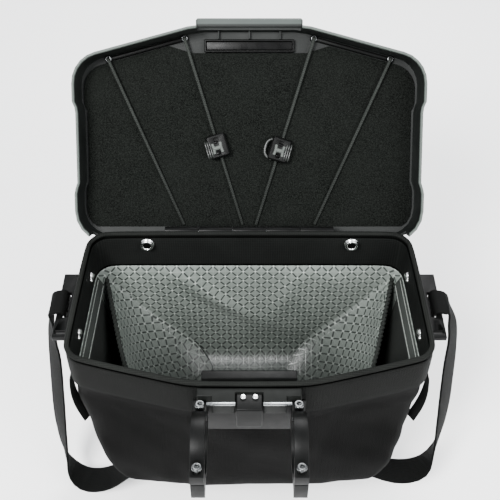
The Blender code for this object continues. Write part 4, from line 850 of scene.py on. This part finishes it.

# %% [markdown]
# Two bright metal strips along the bracket bar's upper edge are a painted highlight for that edge's chamfer. Each is a
# small bar with rounded edges, cut from a box.

# %% Bracket highlight strips
for side_name, side in (("left", -1), ("right", 1)):
    deselect_all()
    # painted highlight: each strip stands in for the light on the bar's chamfered edge
    bpy.ops.mesh.primitive_cube_add(size=1.0, location=Vector((side * 16.6, 20.0, 12.5)) * MM)
    strip = bpy.context.object
    strip.name = f"bracket_highlight_strip_{side_name}"
    strip.scale = Vector((17.0, 2.0, 1.2)) * MM
    bpy.ops.object.transform_apply(location=True, rotation=True, scale=True)
    round_edges(strip, 0.3 * MM, 2)
    wall_uv(strip)
    dress(strip, "bag", "bright_metal", chamfer_highlight_finish)
print("bracket strips", 2)

# %% [markdown]
# ## Cord locks
# Each lock is a small moulding with a ribbed side to pinch and a waisted web between its two holes. The right one also
# has a D-shaped loop. All of it lies in the lid's plane, so a helper turns lid places into places in the room.

# %% Lock details


CEILING_RISE = 12.8  # from the hinge up to the lid's ceiling, in millimetres


def in_lid(across, out, under):
    """A place on the open lid: across it, out from the hinge and below its ceiling, in millimetres."""
    return HINGE + Vector((across, 0.0, 0.0)) * MM + LID_OUT * out * MM + LID_INWARD * (under - CEILING_RISE) * MM


LOCKS = (
    # side, across, out, lean in the lid's plane, side of the ribs, loop
    ("left", -22.5, 58.5, 0.28, -1, False),
    ("right", 21.2, 56.6, -0.26, 1, True),
)
# Lines in a lock's own plane: aside, ahead and below the lid's ceiling, in millimetres
RIB_LINE = ((-6.0, 6.6), (-5.0, 7.9), (0.0, 8.1), (5.0, 7.9), (6.0, 6.6))
NEAR_LEG = ((-3.0, -3.6, 7.9), (-2.6, 0.0, 8.1), (-3.0, 3.6, 7.9))
FAR_LEG = ((2.9, -3.6, 7.9), (2.5, 0.0, 8.1), (2.9, 3.6, 7.9))
LOOP_LINE = ((-4.0, -7.4), (-8.6, -5.4), (-10.2, 0.0), (-8.6, 5.4), (-4.0, 7.4))


def in_lock(across, out, lean, aside, ahead, under):
    moved = Matrix.Rotation(lean, 2) @ Vector((aside, ahead))
    return in_lid(across + moved.x, out + moved.y, under)


lock_finish = moulded("lock_plastic_finish", (0.0096, 0.0108, 0.0096), (0.0240, 0.0264, 0.0240), 0.34, shine=0.4)


def lock_part(piece, finish):
    wall_uv(piece)
    dress(piece, "lid", "black_plastic", finish)


for side_name, across, out, lean, rib_side, loop in LOCKS:
    def at(aside, ahead, under):
        return in_lock(across, out, lean, aside, ahead, under)

    for index in range(3):
        aside = rib_side * (4.6 + 1.5 * index)
        line = [at(aside, ahead, under) for ahead, under in RIB_LINE]
        lock_part(curved_rod(f"lock_rib_{side_name}_{index + 1}", line, 0.6 * MM, 8), lock_finish)
    # painted highlight: the web and the legs are pale, for the glints on the lock's raised face
    for name, line, thick in (
        ("web", [at(-2.4, 0, 8.0), at(0, 0, 8.2), at(2.4, 0, 8.0)], 1.5),
        ("near_leg", [at(aside * rib_side, ahead, under) for aside, ahead, under in NEAR_LEG], 1.1),
        ("far_leg", [at(aside * rib_side, ahead, under) for aside, ahead, under in FAR_LEG], 1.1),
    ):
        lock_part(curved_rod(f"lock_{name}_{side_name}", line, thick * MM, 8), lock_glint_finish)
    for index, ahead in enumerate((-3.9, 3.9)):
        line = [at(-1.3, ahead, 7.2), at(0, ahead, 7.3), at(1.3, ahead, 7.2)]
        lock_part(curved_rod(f"lock_hole_{side_name}_{index + 1}", line, 1.3 * MM, 8), gloss_finish)
    if loop:
        bow = [at(aside, ahead, 6.4) for aside, ahead in LOOP_LINE]
        lock_part(curved_rod(f"lock_loop_{side_name}", bow, 0.9 * MM, 12), lock_finish)
print("locks", len(LOCKS))

# %% [markdown]
# ## Felt and cords in the lid
# The felt is a thin pad with a soft edge. The cords are round, and their braid runs round them.


# %% Felt and cords
felt = welded_copy("lid_felt")
round_edges(felt, 0.5 * MM)
dress(felt, "lid", "felt", felt_finish, "lid_felt")
for node in [name for name in NODES if name.startswith("bungee")]:
    cord = welded_copy(node, quads=False)
    smooth(cord, 50.0)
    band_uv(cord)
    dress(cord, "lid", "elastic_cord", cord_finish, node)
print("cords", 4)

# %% [markdown]
# ## The floor
# A plain pale sheet, with the slightest mottle so that it doesn't look like a screen.

# %% Floor finish
sheet = Recipe("floor_finish")
mottle = sheet.noise(sheet.place(), 3.0, 3.0)
pale = sheet.mix(sheet.span(mottle, 0.3, 0.7), (0.88, 0.88, 0.87), (0.91, 0.91, 0.90))
floor.data.materials.append(sheet.finish(pale, 0.6))
print("floor finished")

# %% [markdown]
# ## The end
# Nothing is left selected at the end.

# %% Finish
deselect_all()
